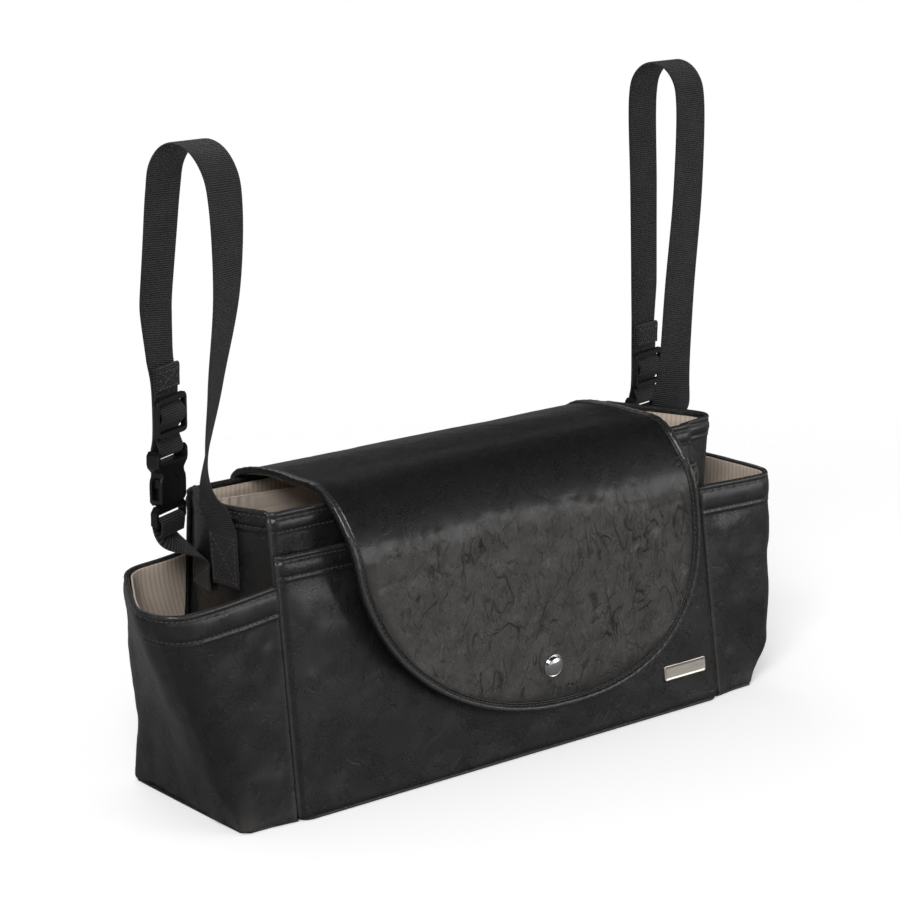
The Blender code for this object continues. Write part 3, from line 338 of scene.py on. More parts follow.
class Value:
    """A shader socket that can stand in an expression."""

    def __init__(self, paint, socket):
        self.paint = paint
        self.socket = socket

    def maths(self, operation, *others):
        sockets = {k: v for k, v in enumerate((self, *others))}
        return self.paint.node("ShaderNodeMath", {"operation": operation}, sockets)

    def __add__(self, other):
        return self.maths("ADD", other)

    __radd__ = __add__

    def __sub__(self, other):
        return self.maths("SUBTRACT", other)

    def __rsub__(self, other):
        return self.paint.node("ShaderNodeMath", {"operation": "SUBTRACT"}, {0: other, 1: self})

    def __mul__(self, other):
        return self.maths("MULTIPLY", other)

    __rmul__ = __mul__

    def __truediv__(self, other):
        return self.maths("DIVIDE", other)

    def __pow__(self, other):
        return self.maths("POWER", other)

    def size(self):
        return self.maths("ABSOLUTE")

    def kept(self):
        """Held between 0 and 1."""
        return self.paint.node("ShaderNodeClamp", {}, {"Value": self})

    def wave(self):
        return self.maths("SINE")

    def between(self, low, high):
        """Eased from 0 at low to 1 at high."""
        sockets = {"Value": self, "From Min": low, "From Max": high}
        return self.paint.node("ShaderNodeMapRange", {"interpolation_type": "SMOOTHSTEP"}, sockets)


class Paint:
    """One material and its nodes."""

    def __init__(self, name, **fixed):
        self.material = bpy.data.materials.new(name)
        self.material.use_nodes = True
        self.tree = self.material.node_tree
        self.shader = self.tree.nodes["Principled BSDF"]
        for socket, value in fixed.items():
            self.put(self.shader.inputs[socket.replace("_", " ")], value)

    def put(self, socket, value):
        if isinstance(value, Value):
            self.tree.links.new(value.socket, socket)
        elif hasattr(value, "__len__") and len(value) == 3 and len(getattr(socket, "default_value", (0, 0, 0))) == 4:
            socket.default_value = (*value, 1)
        else:
            socket.default_value = value

    def node(self, kind, settings=None, sockets=None, out=0):
        made = self.tree.nodes.new(kind)
        for key, value in (settings or {}).items():
            setattr(made, key, value)
        for key, value in (sockets or {}).items():
            self.put(made.inputs[key], value)
        return Value(self, made.outputs[out])

    def place(self):
        return self.node("ShaderNodeTexCoord", out="Object")

    def stretched(self, scale, turn=(0, 0, 0)):
        return self.node("ShaderNodeMapping", {}, {"Vector": self.place(), "Scale": scale, "Rotation": turn})

    def noise(self, scale, detail=3.0, twist=0.0, at=None, rough=0.5):
        sockets = {"Scale": scale, "Detail": detail, "Distortion": twist, "Roughness": rough}
        sockets["Vector"] = self.place() if at is None else at
        return self.node("ShaderNodeTexNoise", {}, sockets)

    def attribute(self, name):
        return self.node("ShaderNodeAttribute", {"attribute_name": name}, out="Fac")

    def surface_place(self):
        """Metres across and along the piece, from its own map."""
        across = self.node("ShaderNodeSeparateXYZ", {}, {0: self.node("ShaderNodeUVMap", {"uv_map": "cloth"})})
        return across, Value(self, across.socket.node.outputs[1])

    def mix(self, share, first, second):
        settings = {"data_type": "RGBA", "clamp_factor": True}
        return self.node("ShaderNodeMix", settings, {0: share, 6: first, 7: second}, 2)

    def bump(self, height, distance, strength=1.0):
        sockets = {"Height": height, "Distance": distance, "Strength": strength}
        self.put(self.shader.inputs["Normal"], self.node("ShaderNodeBump", {}, sockets))

    def set(self, **values):
        for socket, value in values.items():
            self.put(self.shader.inputs[socket.replace("_", " ")], value)
        return self.material


@cache
def leather_look():
    """Coated leather: pebbled grain, a net of creases where the piece is crumpled with painted shade in the creases,
    edges lightened by wear and painted highlight, and the hanging flap lightened by rubbing and painted sheen.
    """
    paint = Paint("black_leather", Coat_Roughness=0.2, Specular_IOR_Level=0.42)
    size = sizes().grain_size
    warp = paint.noise(1 / (9 * size), 2.0)
    push = paint.node("ShaderNodeTexNoise", {}, {"Scale": 1 / (4 * size), "Detail": 2.0}, "Color")
    pushed = {0: push, 1: (1.6 * size,) * 3, 2: paint.place()}
    spot = paint.node("ShaderNodeVectorMath", {"operation": "MULTIPLY_ADD"}, pushed)
    cells = paint.node(
        "ShaderNodeTexVoronoi", {"feature": "DISTANCE_TO_EDGE"}, {"Vector": spot, "Scale": 1 / size}
    )
    pebble = cells.between(0.0, 0.16)
    upright = paint.stretched((1.0, 1.0, 0.5))
    long_lines = 1 - ((paint.noise(1 / (17 * MM), 1.5, 1.1, upright) - 0.5).size() * 30).kept()
    long_lines = long_lines * paint.noise(1 / (19 * MM), 1.0).between(0.46, 0.6)
    short_lines = 1 - ((paint.noise(1 / (8 * MM), 1.5, 0.9, upright) - 0.5).size() * 18).kept()
    short_lines = short_lines * paint.noise(1 / (12 * MM), 1.0, 0.5).between(0.44, 0.62)
    hair = paint.noise(1 / (1.5 * MM), 3.0, 2.4, upright)
    crumple = paint.attribute("crumple")
    worn = paint.attribute("worn")
    # Lighter colour where the flap hangs crumpled: rubbed leather and painted sheen; it also makes it rougher and less
    # coated.
    rub_and_sheen = crumple * crumple
    mottle = paint.noise(1 / (21 * MM), 4.0, 0.9)
    crease = (long_lines * 0.9 + short_lines * 0.6).kept()
    height = pebble * 0.14 + hair * (rub_and_sheen * 1.5 + 0.1) - crease * (crumple * 1.2 + 0.1)
    paint.bump(height + mottle * crumple * 1.4, 0.5 * MM)
    # Tone of the hanging flap: mottled painted sheen and hair lines, with the creases darkened as painted shade.
    sheen_and_crease_shade = 0.66 + (mottle - 0.5) * 0.9 + (hair - 0.5) * 1.3 - crease * 0.55
    # Share of the lighter colour: wear and painted highlight from the mask, rubbed leather and painted sheen on the
    # hanging flap.
    wear_and_painted_light = (worn * 0.4 + rub_and_sheen * sheen_and_crease_shade + (warp - 0.5) * 0.05).kept()
    colour = paint.mix(wear_and_painted_light, tuple(colours().leather), tuple(colours().leather_wear_and_sheen))
    rough = 0.27 + (mottle - 0.5) * 0.2 + rub_and_sheen * 0.18 + (1 - pebble) * 0.06 - worn * 0.06
    coat = 0.34 + (mottle - 0.5) * 0.4 - rub_and_sheen * 0.25 + worn * 0.3
    return paint.set(Base_Color=colour, Roughness=rough, Coat_Weight=coat.kept())


@cache
def lining_look():
    """Woven lining with fine stripes up the walls."""
    paint = Paint("beige_lining", Sheen_Weight=0.12, Sheen_Roughness=0.5)
    across, along = paint.surface_place()
    stripe = ((across * (TURN / sizes().stripe_pitch)).wave() * 0.5 + 0.5).between(0.62, 0.86)
    thread = ((across * (TURN / WEAVE_PITCH)).wave() * (along * (TURN / WEAVE_PITCH)).wave()) * 0.5 + 0.5
    cloud = paint.noise(1 / (25 * MM), 4.0, 0.3)
    colour = paint.mix(
        (stripe * 0.5 + (cloud - 0.5) * 0.35 + thread * 0.08).kept(),
        tuple(colours().lining),
        tuple(colours().lining_stripe),
    )
    paint.bump(thread * 0.6 - stripe * 0.4 + cloud * 1.4, 0.25 * MM)
    return paint.set(Base_Color=colour, Roughness=0.62 + (cloud - 0.5) * 0.2)


@cache
def satin_cloth_look():
    """Smooth pocket cloth with a fine twill."""
    paint = Paint("satin_cloth", Sheen_Weight=0.25, Sheen_Roughness=0.35)
    across, along = paint.surface_place()
    twill = ((across + along) * (TURN / TWILL_PITCH)).wave() * 0.5 + 0.5
    cloud = paint.noise(1 / (18 * MM), 4.0, 0.4)
    dark = tuple(0.72 * c for c in colours().satin_cloth)
    colour = paint.mix((cloud * 0.5 + twill * 0.12).kept(), tuple(colours().satin_cloth), dark)
    paint.bump(twill * 0.3 + cloud * 1.2, 0.3 * MM)
    return paint.set(Base_Color=colour, Roughness=0.42 + (cloud - 0.5) * 0.16)


@cache
def webbing_look():
    """Plain-woven webbing: ribs across it, broken by the warp."""
    paint = Paint("black_webbing", Sheen_Weight=0.08, Sheen_Roughness=0.4)
    across, along = paint.surface_place()
    rib = (along * (TURN / sizes().web_rib)).wave() * 0.5 + 0.5
    bead = (across * (TURN / sizes().web_rib)).wave() * 0.5 + 0.5
    fibre = paint.noise(1 / (0.5 * MM), 2.0)
    fuzz = paint.noise(1 / (12 * MM), 3.0)
    # Colour follows the weave: rib tops lighter and the hollows between them darker, a painted highlight and painted
    # shade.
    weave = rib * (0.45 + bead * 0.55)
    dark = tuple(0.25 * c for c in colours().webbing)
    light = tuple(2.9 * c for c in colours().webbing)
    colour = paint.mix((weave * 0.8 + (fuzz - 0.5) * 0.4 + fibre * 0.16 - 0.08).kept(), dark, light)
    paint.bump(weave + fibre * 0.12, 0.6 * MM)
    return paint.set(Base_Color=colour, Roughness=0.62 - weave * 0.1 + (fuzz - 0.5) * 0.2)


@cache
def thread_look():
    paint = Paint("sewing_thread", Sheen_Weight=0.1)
    ply = paint.noise(1 / (0.4 * MM), 2.0, at=paint.stretched((1, 1, 1)))
    dark = tuple(0.6 * c for c in colours().thread)
    light = tuple(1.7 * c for c in colours().thread)
    paint.bump(ply, 0.1 * MM)
    return paint.set(Base_Color=paint.mix(ply, dark, light), Roughness=0.45 + (ply - 0.5) * 0.3)


@cache
def plastic_look():
    """Moulded acetal with a faint sparkle and handling marks."""
    paint = Paint("black_plastic", Specular_IOR_Level=0.6)
    mould = paint.noise(1 / (0.7 * MM), 2.0)
    marks = paint.noise(1 / (6 * MM), 4.0, 0.8)
    light = tuple(1.9 * c for c in colours().plastic)
    paint.bump(mould * 0.5 + marks * 0.5, 0.05 * MM)
    colour = paint.mix((marks * 0.5).kept(), tuple(colours().plastic), light)
    return paint.set(Base_Color=colour, Roughness=0.24 + (marks - 0.5) * 0.14)


@cache
def chrome_look():
    paint = Paint("chrome", Metallic=1.0)
    haze = paint.noise(1 / (2.5 * MM), 4.0, 0.5)
    dull = tuple(0.82 * c for c in colours().chrome)
    paint.bump(haze, 0.015 * MM)
    colour = paint.mix(haze, tuple(colours().chrome), dull)
    return paint.set(Base_Color=colour, Roughness=0.1 + haze * 0.08)


@cache
def satin_metal_look():
    """Brushed plate, its strokes along its length."""
    paint = Paint("satin_metal", Metallic=1.0)
    strokes = paint.noise(1 / (0.5 * MM), 4.0, at=paint.stretched((0.04, 1, 1)))
    cloud = paint.noise(1 / (8 * MM), 3.0)
    dull = tuple(0.84 * c for c in colours().satin_metal)
    paint.bump(strokes, 0.03 * MM)
    colour = paint.mix((strokes * 0.6 + cloud * 0.3).kept(), tuple(colours().satin_metal), dull)
    return paint.set(Base_Color=colour, Roughness=0.3 + (strokes - 0.5) * 0.14)


# Shapes shared with the solids


def smooth(t):
    t = np.clip(t, 0.0, 1.0)
    return t * t * (3 - 2 * t)


def unit(vectors):
    return vectors / np.maximum(np.linalg.norm(vectors, axis=-1, keepdims=True), 1e-12)


def curve_through(stations, count):
    """Points evenly spaced along a smooth curve through the stations, however unevenly those lie."""
    s = np.asarray(stations, float)
    ends = np.concatenate([[2 * s[0] - s[1]], s, [2 * s[-1] - s[-2]]])
    knots = np.concatenate([[0], np.cumsum(np.sqrt(np.linalg.norm(np.diff(ends, axis=0), axis=1)))])
    fine = []
    for k in range(1, len(ends) - 2):
        p, q = ends[k - 1 : k + 3], knots[k - 1 : k + 3]
        t = np.linspace(q[1], q[2], 24, endpoint=False)[:, None]
        near = [((q[i + 1] - t) * p[i] + (t - q[i]) * p[i + 1]) / (q[i + 1] - q[i]) for i in range(3)]
        wide = [((q[i + 2] - t) * near[i] + (t - q[i]) * near[i + 1]) / (q[i + 2] - q[i]) for i in range(2)]
        fine.append(((q[2] - t) * wide[0] + (t - q[1]) * wide[1]) / (q[2] - q[1]))
    fine = np.concatenate([*fine, s[-1:]])
    along = np.concatenate([[0], np.cumsum(np.linalg.norm(np.diff(fine, axis=0), axis=1))])
    wanted = np.linspace(0, along[-1], count)
    return np.stack([np.interp(wanted, along, fine[:, i]) for i in range(fine.shape[1])], -1)


def front_y(z):
    return -DEPTH / 2 + FRONT_LEAN * z / RIM_HEIGHT


def back_y(z):
    return DEPTH / 2 - BACK_LEAN * z / RIM_HEIGHT


def side_x(side, z):
    return side * (LENGTH / 2 - SIDE_DRAW[side] * z / RIM_HEIGHT)


def gusset_span(z):
    return front_y(z) + SLIP_LAYER + PANEL_DEPTH + SEAM_ROOM, back_y(z) - PANEL_DEPTH - SEAM_ROOM


def gusset_x(side, y, z):
    near, far = gusset_span(z)
    share = np.clip((y - near) / (far - near), 0, 1)
    reach = SIDE_BOW[side] * (np.maximum(z, 0.0) / RIM_HEIGHT) ** 1.5
    return side_x(side, z) - side * SKIN / 2 + side * reach * np.sin(math.pi * share ** BOW_SKEW[side])


def gusset_slope(side, y, z):
    step = 2 * MM
    return (gusset_x(side, y + step, z) - gusset_x(side, y - step, z)) / (2 * step)


def sewn_turn(side, y, z):
    return -side * 90 - math.degrees(math.atan(gusset_slope(side, y, z)))


def flap_path(lift):
    seam = BINDING_THICK / 2 + GAP
    root_z = BACK_RIM - FLAP_ROOT_DROP
    stations = [
        (back_y(root_z) + seam + HEM_EXTRA / 2, root_z),
        (back_y(RIM_HEIGHT) + seam + 1.5 * MM, RIM_HEIGHT - 3 * MM),
        (back_y(RIM_HEIGHT) - 4 * MM, RIM_HEIGHT + 1.5 * MM + lift * 0.2),
        (FLAP_CROWN_Y + 20 * MM, RIM_HEIGHT + FLAP_CROWN_RISE * 0.9 + lift * 0.9),
        (FLAP_CROWN_Y - 8 * MM, RIM_HEIGHT + FLAP_CROWN_RISE + lift),
        (FLAP_SHOULDER_Y, RIM_HEIGHT + FLAP_SHOULDER_RISE + lift * 0.6),
        (FLAP_FOLD[0] - lift, FLAP_FOLD[1]),
        (FLAP_DROP[0] - lift * 0.9, FLAP_DROP[1]),
        (FLAP_HEM_Y, FLAP_HEM_Z + 40 * MM),
        (FLAP_HEM_Y, FLAP_HEM_Z),
    ]
    return curve_through(stations, 200)


FLAP_PATHS = (flap_path(FLAP_LEFT_LIFT), flap_path(0.0))


def flap_point(x, share):
    mix = np.clip((x - FLAP_CENTRE_X) / (2 * FLAP_HALF) + 0.5, 0, 1)
    at = np.clip(share, 0, 1) * 199
    found = [[np.interp(at, np.arange(200), path[:, i]) for i in (0, 1)] for path in FLAP_PATHS]
    y, z = (1 - mix) * np.array(found[0]) + mix * np.array(found[1])
    return np.array((x, y, z))


def share_at_height(z):
    drop = (0.5 * (FLAP_PATHS[0] + FLAP_PATHS[1]))[110:]
    return np.interp(-z, -drop[:, 1], np.arange(110, 200)) / 199


CURVE_SHARE = share_at_height(FLAP_CURVE_TOP)


def flap_centre(share):
    fall = np.clip((share - 0.35) / 0.65, 0, 1)
    return FLAP_CENTRE_X + FLAP_SKEW * fall**2


def flap_at(a, b, inset):
    half = FLAP_HALF - inset
    if b <= 0:
        share = CURVE_SHARE * (1 + b)
        return flap_point(flap_centre(share) + a * half, share)
    across, down = a * math.sqrt(1 - b * b / 2), b * math.sqrt(1 - a * a / 2)
    size = math.hypot(across, down) or 1.0
    stretch = (abs(across / size) ** FLAP_POWER + abs(down / size) ** FLAP_POWER) ** (-1 / FLAP_POWER)
    depth = (FLAP_CURVE_TOP - FLAP_HEM_Z - inset) * down * stretch
    share = share_at_height(FLAP_CURVE_TOP - depth)
    return flap_point(flap_centre(share) + across * stretch * half, share)


def pocket_outline(side, z, inset, count=12):
    t = z / POCKET_HEIGHT
    flare = smooth(t) * 0.55 + 0.45 * t
    out = POCKET_BASE_OUT + (POCKET_RIM_OUT[side] - POCKET_BASE_OUT) * flare
    out += POCKET_BELLY[side] * smooth(z / (30 * MM)) * (1 - flare) - inset
    corner = POCKET_FOOT_CORNER + (POCKET_CORNER[side] - POCKET_FOOT_CORNER) * smooth(z / POCKET_FOOT_RISE)
    corner += (POCKET_RIM_CORNER[side] - POCKET_CORNER[side]) * flare
    taper = POCKET_RIM_TAPER[side] * flare
    tuck = POCKET_INSET * (1 - flare) + 0.6 * MM
    low = front_y(z) + tuck + inset - 5 * MM * flare * (side < 0)
    high = back_y(z) - tuck - inset - POCKET_RIM_BACK[side] * flare
    x0 = side_x(side, z) + side * (GAP + SKIN)
    near = (x0, front_y(z) + SKIN + inset)
    far = (x0, back_y(z) - SKIN - inset)
    x1 = side_x(side, z) + side * out
    line = [near, ((x0 * 0.6 + x1 * 0.4), low * 0.8 + near[1] * 0.2)]
    back_corner = corner * 1.15
    bend = low + corner + 13 * MM
    lean = math.degrees(math.atan2(taper, high - back_corner - bend))
    middle = (x1 - side * corner, low + corner)
    for k in range(count // 2 + 1):
        angle = math.radians(-90 + 90 * k / (count // 2))
        line.append((middle[0] + side * corner * math.cos(angle), middle[1] + corner * math.sin(angle)))
    line.append((x1, bend))
    x2 = x1 - side * taper
    middle = (x2 - side * back_corner, high - back_corner)
    for k in range(count // 2 + 1):
        angle = math.radians(lean + (90 - lean) * k / (count // 2))
        line.append((middle[0] + side * back_corner * math.cos(angle), middle[1] + back_corner * math.sin(angle)))
    line += [((x0 * 0.6 + x2 * 0.4), high * 0.85 + far[1] * 0.15), far]
    return curve_through(line, POCKET_STEPS)


def pocket_grid(side, heights):
    grid = np.zeros((len(heights), POCKET_STEPS, 3))
    for i, z in enumerate(heights):
        line = pocket_outline(side, z, SKIN / 2)
        reach = np.abs(line[:, 0] - side_x(side, z)) / POCKET_RIM_OUT[side]
        grid[i, :, :2] = line
        grid[i, :, 2] = z - POCKET_RIM_SAG[side] * smooth(reach) * smooth(z / POCKET_HEIGHT) ** 2
    return grid


# Noise for the folds


def value_noise(x, y, seed):
    """Smooth noise from 0 to 1 on a plane, one cell per unit."""
    table = np.random.default_rng(seed).random((64, 64))
    x, y = np.asarray(x, float), np.asarray(y, float)
    i, j = np.floor(x).astype(int), np.floor(y).astype(int)
    u, v = x - i, y - j
    u, v = u**3 * (u * (6 * u - 15) + 10), v**3 * (v * (6 * v - 15) + 10)
    at = [table[(i + a) % 64, (j + b) % 64] for a, b in ((0, 0), (1, 0), (0, 1), (1, 1))]
    return (at[0] * (1 - u) + at[1] * u) * (1 - v) + (at[2] * (1 - u) + at[3] * u) * v


def cloud(x, y, size, seed, layers=3):
    """Layered noise around 0, of about one unit either way."""
    total = sum(
        0.5**k * (value_noise(x / size * 2**k, y / size * 2**k, seed + k) - 0.5) for k in range(layers)
    )
    return 2 * total


def wrinkles(x, y, size, seed):
    """A net of sharp valleys between soft pads, 0 in the valleys and 1 on the pads."""
    bend_x = x + 0.8 * size * cloud(x, y, 1.5 * size, seed + 11, 2)
    bend_y = y + 0.8 * size * cloud(x, y, 1.5 * size, seed + 23, 2)
    net = np.abs(cloud(bend_x, bend_y, size, seed, 2))
    return np.clip(net * 2.2, 0, 1) ** 0.6


def groove(distance, width=1.3 * MM):
    return np.exp(-((distance / width) ** 2))


# Meshes


def finished(name, mesh, looks, body, replaced=(), smooth_faces=True):
    """The mesh as a piece that rides on a body."""
    for look in looks:
        mesh.materials.append(look)
    if smooth_faces:
        mesh.shade_smooth()
    piece = bpy.data.objects.new(name, mesh)
    bpy.context.scene.collection.objects.link(piece)
    if body:
        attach(piece, body)
    if replaced:
        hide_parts(*replaced)
    return piece


def turned_out(points, faces):
    """The faces, all reversed if together they enclose a negative volume."""
    total = 0.0
    for face in faces:
        a = points[face[0]]
        for k in range(1, len(face) - 1):
            total += np.dot(a, np.cross(points[face[k]], points[face[k + 1]]))
    return faces if total > 0 else [tuple(f)[::-1] for f in faces]


def mesh_of(name, points, faces, uvs=None, masks=None, inner_from=None):
    """A mesh with the cloth map and the masks that the materials read."""
    points = np.asarray(points, float)
    faces = [tuple(int(i) for i in f) for f in faces]
    turned = turned_out(points, faces)
    mesh = bpy.data.meshes.new(name)
    mesh.from_pydata(points.tolist(), [], turned)
    if uvs is not None:
        layer = mesh.uv_layers.new(name="cloth")
        corners = np.zeros(len(mesh.loops), int)
        mesh.loops.foreach_get("vertex_index", corners)
        layer.data.foreach_set("uv", np.asarray(uvs, float)[corners].ravel())
    for key, values in (masks or {}).items():
        made = mesh.attributes.new(key, "FLOAT", "POINT")
        made.data.foreach_set("value", np.asarray(values, np.float32).ravel())
    if inner_from is not None:
        mesh.polygons.foreach_set("material_index", np.asarray(inner_from, int))
    mesh.update()
    return mesh


class Skin:
    """A sheet with thickness around a grid of middle points. Its outer face can be pressed, rippled and sewn."""

    def __init__(self, grid, thick, outwards):
        self.grid = np.asarray(grid, float)
        rows, cols = self.grid.shape[:2]
        self.normal = unit(np.cross(np.gradient(self.grid, axis=0), np.gradient(self.grid, axis=1)))
        if np.sum(self.normal[rows // 2, cols // 2] * np.asarray(outwards)) < 0:
            self.normal = -self.normal
        self.half = np.array(np.broadcast_to(np.asarray(thick, float), (rows, cols))) / 2
        along_cols = np.linalg.norm(np.diff(self.grid, axis=1), axis=2)
        along_rows = np.linalg.norm(np.diff(self.grid, axis=0), axis=2)
        self.u = np.concatenate([np.zeros((rows, 1)), np.cumsum(along_cols, axis=1)], axis=1)
        self.v = np.concatenate([np.zeros((1, cols)), np.cumsum(along_rows, axis=0)], axis=0)
        self.lift = np.zeros((rows, cols))
        self.inner_lift = np.zeros((rows, cols))
        self.masks = {"crumple": np.zeros((rows, cols)), "worn": np.zeros((rows, cols))}

    def ripple(self, height):
        """Both faces move together."""
        self.lift += height
        self.inner_lift += height

    def press(self, height):
        """Only the outer face moves."""
        self.lift += height

    # Raises the mask that lightens the leather: wear and painted highlight.
    def wear_and_painted_light(self, amount):
        self.masks["worn"] = np.maximum(self.masks["worn"], amount)

    def seam_edges(self):
        """Lightened where the first and last columns are sewn in: wear and a painted highlight along the folded edge.
        """
        return 1 - smooth(np.minimum(self.u, self.u[:, -1:] - self.u) / WORN_EDGE)

    def calm(self, width):
        """0 at the first and last columns, 1 from the width inwards."""
        return smooth(self.u / width) * smooth((self.u[:, -1:] - self.u) / width)

    def outer(self):
        return self.grid + self.normal * (self.half + self.lift)[..., None]

    def inner(self):
        return self.grid + self.normal * (self.inner_lift - self.half)[..., None]

    def row(self, at, proud=0.0):
        """A line along the outer face at a fractional row, with the face's direction at each point."""
        return self.line(np.full(self.grid.shape[1], float(at)), np.arange(self.grid.shape[1]), proud)

    def column(self, at, proud=0.0):
        return self.line(np.arange(self.grid.shape[0]), np.full(self.grid.shape[0], float(at)), proud)

    def line(self, rows, cols, proud=0.0):
        outer = self.outer()
        i = np.clip(np.floor(rows).astype(int), 0, self.grid.shape[0] - 2)
        j = np.clip(np.floor(cols).astype(int), 0, self.grid.shape[1] - 2)
        a, b = (rows - i)[:, None], (cols - j)[:, None]

        def between(field):
            low = field[i, j] * (1 - b) + field[i, j + 1] * b
            high = field[i + 1, j] * (1 - b) + field[i + 1, j + 1] * b
            return low * (1 - a) + high * a

        normal = unit(between(self.normal))
        return between(outer) + normal * proud, normal

    def area(self):
        across = np.linalg.norm(np.diff(self.grid, axis=1), axis=2)
        along = np.linalg.norm(np.diff(self.grid, axis=0), axis=2)
        return float(np.sum(0.5 * (across[:-1] + across[1:]) * 0.5 * (along[:, :-1] + along[:, 1:])))

    def mesh(self, name, two_faced=False, rounds=3):
        rows, cols = self.grid.shape[:2]
        outer, inner = self.outer(), self.inner()
        at = np.arange(rows * cols).reshape(rows, cols)
        under = at + rows * cols
        quads = np.stack([at[:-1, :-1], at[:-1, 1:], at[1:, 1:], at[1:, :-1]], -1).reshape(-1, 4)
        if np.sum(np.cross(outer[0, 1] - outer[0, 0], outer[1, 0] - outer[0, 0]) * self.normal[0, 0]) < 0:
            quads = quads[:, ::-1]
        faces = [*quads.tolist(), *(quads[:, ::-1] + rows * cols).tolist()]
        ring = [
            *[(0, j) for j in range(cols)],
            *[(i, cols - 1) for i in range(1, rows)],
            *[(rows - 1, j) for j in range(cols - 2, -1, -1)],
            *[(i, 0) for i in range(rows - 2, 0, -1)],
        ]
        ri, rj = np.array([r[0] for r in ring]), np.array([r[1] for r in ring])
        middle = 0.5 * (outer[ri, rj] + inner[ri, rj])
        reach = np.linalg.norm(outer[ri, rj] - inner[ri, rj], axis=1, keepdims=True) / 2
        inside = self.grid[np.clip(ri, 1, rows - 2), np.clip(rj, 1, cols - 2)]
        out = unit(self.grid[ri, rj] - inside)
        levels = [at[ri, rj]]
        points = [outer.reshape(-1, 3), inner.reshape(-1, 3)]
        start = 2 * rows * cols
        for k in range(1, rounds + 1):
            angle = math.pi * k / (rounds + 1)
            points.append(
                middle + self.normal[ri, rj] * reach * math.cos(angle) + out * reach * math.sin(angle)
            )
            levels.append(np.arange(len(ring)) + start)
            start += len(ring)
        levels.append(under[ri, rj])
        forward = not np.array_equal(quads[0], [at[0, 0], at[0, 1], at[1, 1], at[1, 0]])
        for a, b in zip(levels[:-1], levels[1:]):
            for k in range(len(ring)):
                n = (k + 1) % len(ring)
                face = (a[k], a[n], b[n], b[k])
                faces.append(face if forward else face[::-1])
        flat = np.stack([self.u, self.v], -1).reshape(-1, 2)
        border = np.stack([self.u[ri, rj], self.v[ri, rj]], -1)
        uvs = np.concatenate([flat, flat, *[border] * rounds])
        masks = {}
        for key, values in self.masks.items():
            masks[key] = np.concatenate([values.ravel(), values.ravel(), *[values[ri, rj]] * rounds])
        inner_from = None
        if two_faced:
            count = len(quads)
            inner_from = [0] * count + [1] * count + [0] * (len(faces) - 2 * count)
        return mesh_of(name, np.concatenate(points), faces, uvs, masks, inner_from)


def swept(loops, widths=None):
    """Points, faces and cloth map of closed loops joined one to the next, closed by fans."""
    loops = np.asarray(loops, float)
    count, size = loops.shape[:2]
    points = np.concatenate([loops.reshape(-1, 3), [loops[0].mean(0)], [loops[-1].mean(0)]])
    faces = []
    for k in range(count - 1):
        for i in range(size):
            j = (i + 1) % size
            faces.append((k * size + i, k * size + j, (k + 1) * size + j, (k + 1) * size + i))
    for i in range(size):
        j = (i + 1) % size
        faces.append((count * size, j, i))
        faces.append((count * size + 1, (count - 1) * size + i, (count - 1) * size + j))
    centre = loops.mean(1)
    along = np.concatenate([[0], np.cumsum(np.linalg.norm(np.diff(centre, axis=0), axis=1))])
    across = np.zeros(size) if widths is None else np.asarray(widths, float)
    uvs = np.stack([np.broadcast_to(across, (count, size)), np.repeat(along[:, None], size, 1)], -1).reshape(-1, 2)
    uvs = np.concatenate([uvs, [[across.mean(), 0]], [[across.mean(), along[-1]]]])
    return points, faces, uvs


# Sewing

SEAMS = {}


def sew(body, line, trim=(0, 0)):
    """Keeps a line of points and face directions for the stitches of a body."""
    points, normals = line
    stop = len(points) - trim[1]
    SEAMS.setdefault(body, []).append((points[trim[0] : stop], normals[trim[0] : stop]))


def stitch_tree():
    """Geometry nodes that lay a stitch at each step along every seam line."""
    tree = bpy.data.node_groups.new("stitching", "GeometryNodeTree")
    face = tree.interface
    face.new_socket("Geometry", in_out="INPUT", socket_type="NodeSocketGeometry")
    for name in ("Pitch", "Length", "Width"):
        face.new_socket(name, in_out="INPUT", socket_type="NodeSocketFloat")
    face.new_socket("Thread", in_out="INPUT", socket_type="NodeSocketMaterial")
    face.new_socket("Geometry", in_out="OUTPUT", socket_type="NodeSocketGeometry")
    add = partial(add_node, tree)
    given = add("NodeGroupInput")
    curve = add("GeometryNodeMeshToCurve", {}, {"Mesh": given.outputs["Geometry"]})
    even = add(
        "GeometryNodeResampleCurve", {"mode": "LENGTH"}, {"Curve": curve.outputs[0], "Length": given.outputs["Pitch"]}
    )
    run = add("GeometryNodeInputTangent")
    lie = add("GeometryNodeInputNamedAttribute", {"data_type": "FLOAT_VECTOR"}, {"Name": "face_direction"})
    first = add("FunctionNodeAlignRotationToVector", {"axis": "X"}, {"Vector": run.outputs[0]})
    second = add(
        "FunctionNodeAlignRotationToVector",
        {"axis": "Z", "pivot_axis": "X"},
        {"Rotation": first.outputs[0], "Vector": lie.outputs["Attribute"]},
    )
    bead = add("GeometryNodeMeshUVSphere", {}, {"Segments": 6, "Rings": 5, "Radius": 0.5})
    flat = add("ShaderNodeMath", {"operation": "MULTIPLY"}, {0: given.outputs["Width"], 1: 0.75})
    size = add(
        "ShaderNodeCombineXYZ", {}, {0: flat.outputs[0], 1: given.outputs["Width"], 2: given.outputs["Length"]}
    )
    stitch = add(
        "GeometryNodeTransform",
        {},
        {"Geometry": bead.outputs["Mesh"], "Rotation": (0.0, math.pi / 2, math.radians(5)), "Scale": size.outputs[0]},
    )
    laid = add(
        "GeometryNodeInstanceOnPoints",
        {},
        {"Points": even.outputs[0], "Instance": stitch.outputs[0], "Rotation": second.outputs[0]},
    )
    real = add("GeometryNodeRealizeInstances", {}, {"Geometry": laid.outputs[0]})
    painted = add(
        "GeometryNodeSetMaterial", {}, {"Geometry": real.outputs[0], "Material": given.outputs["Thread"]}
    )
    result = add("NodeGroupOutput")
    tree.links.new(painted.outputs[0], result.inputs["Geometry"])
    return tree


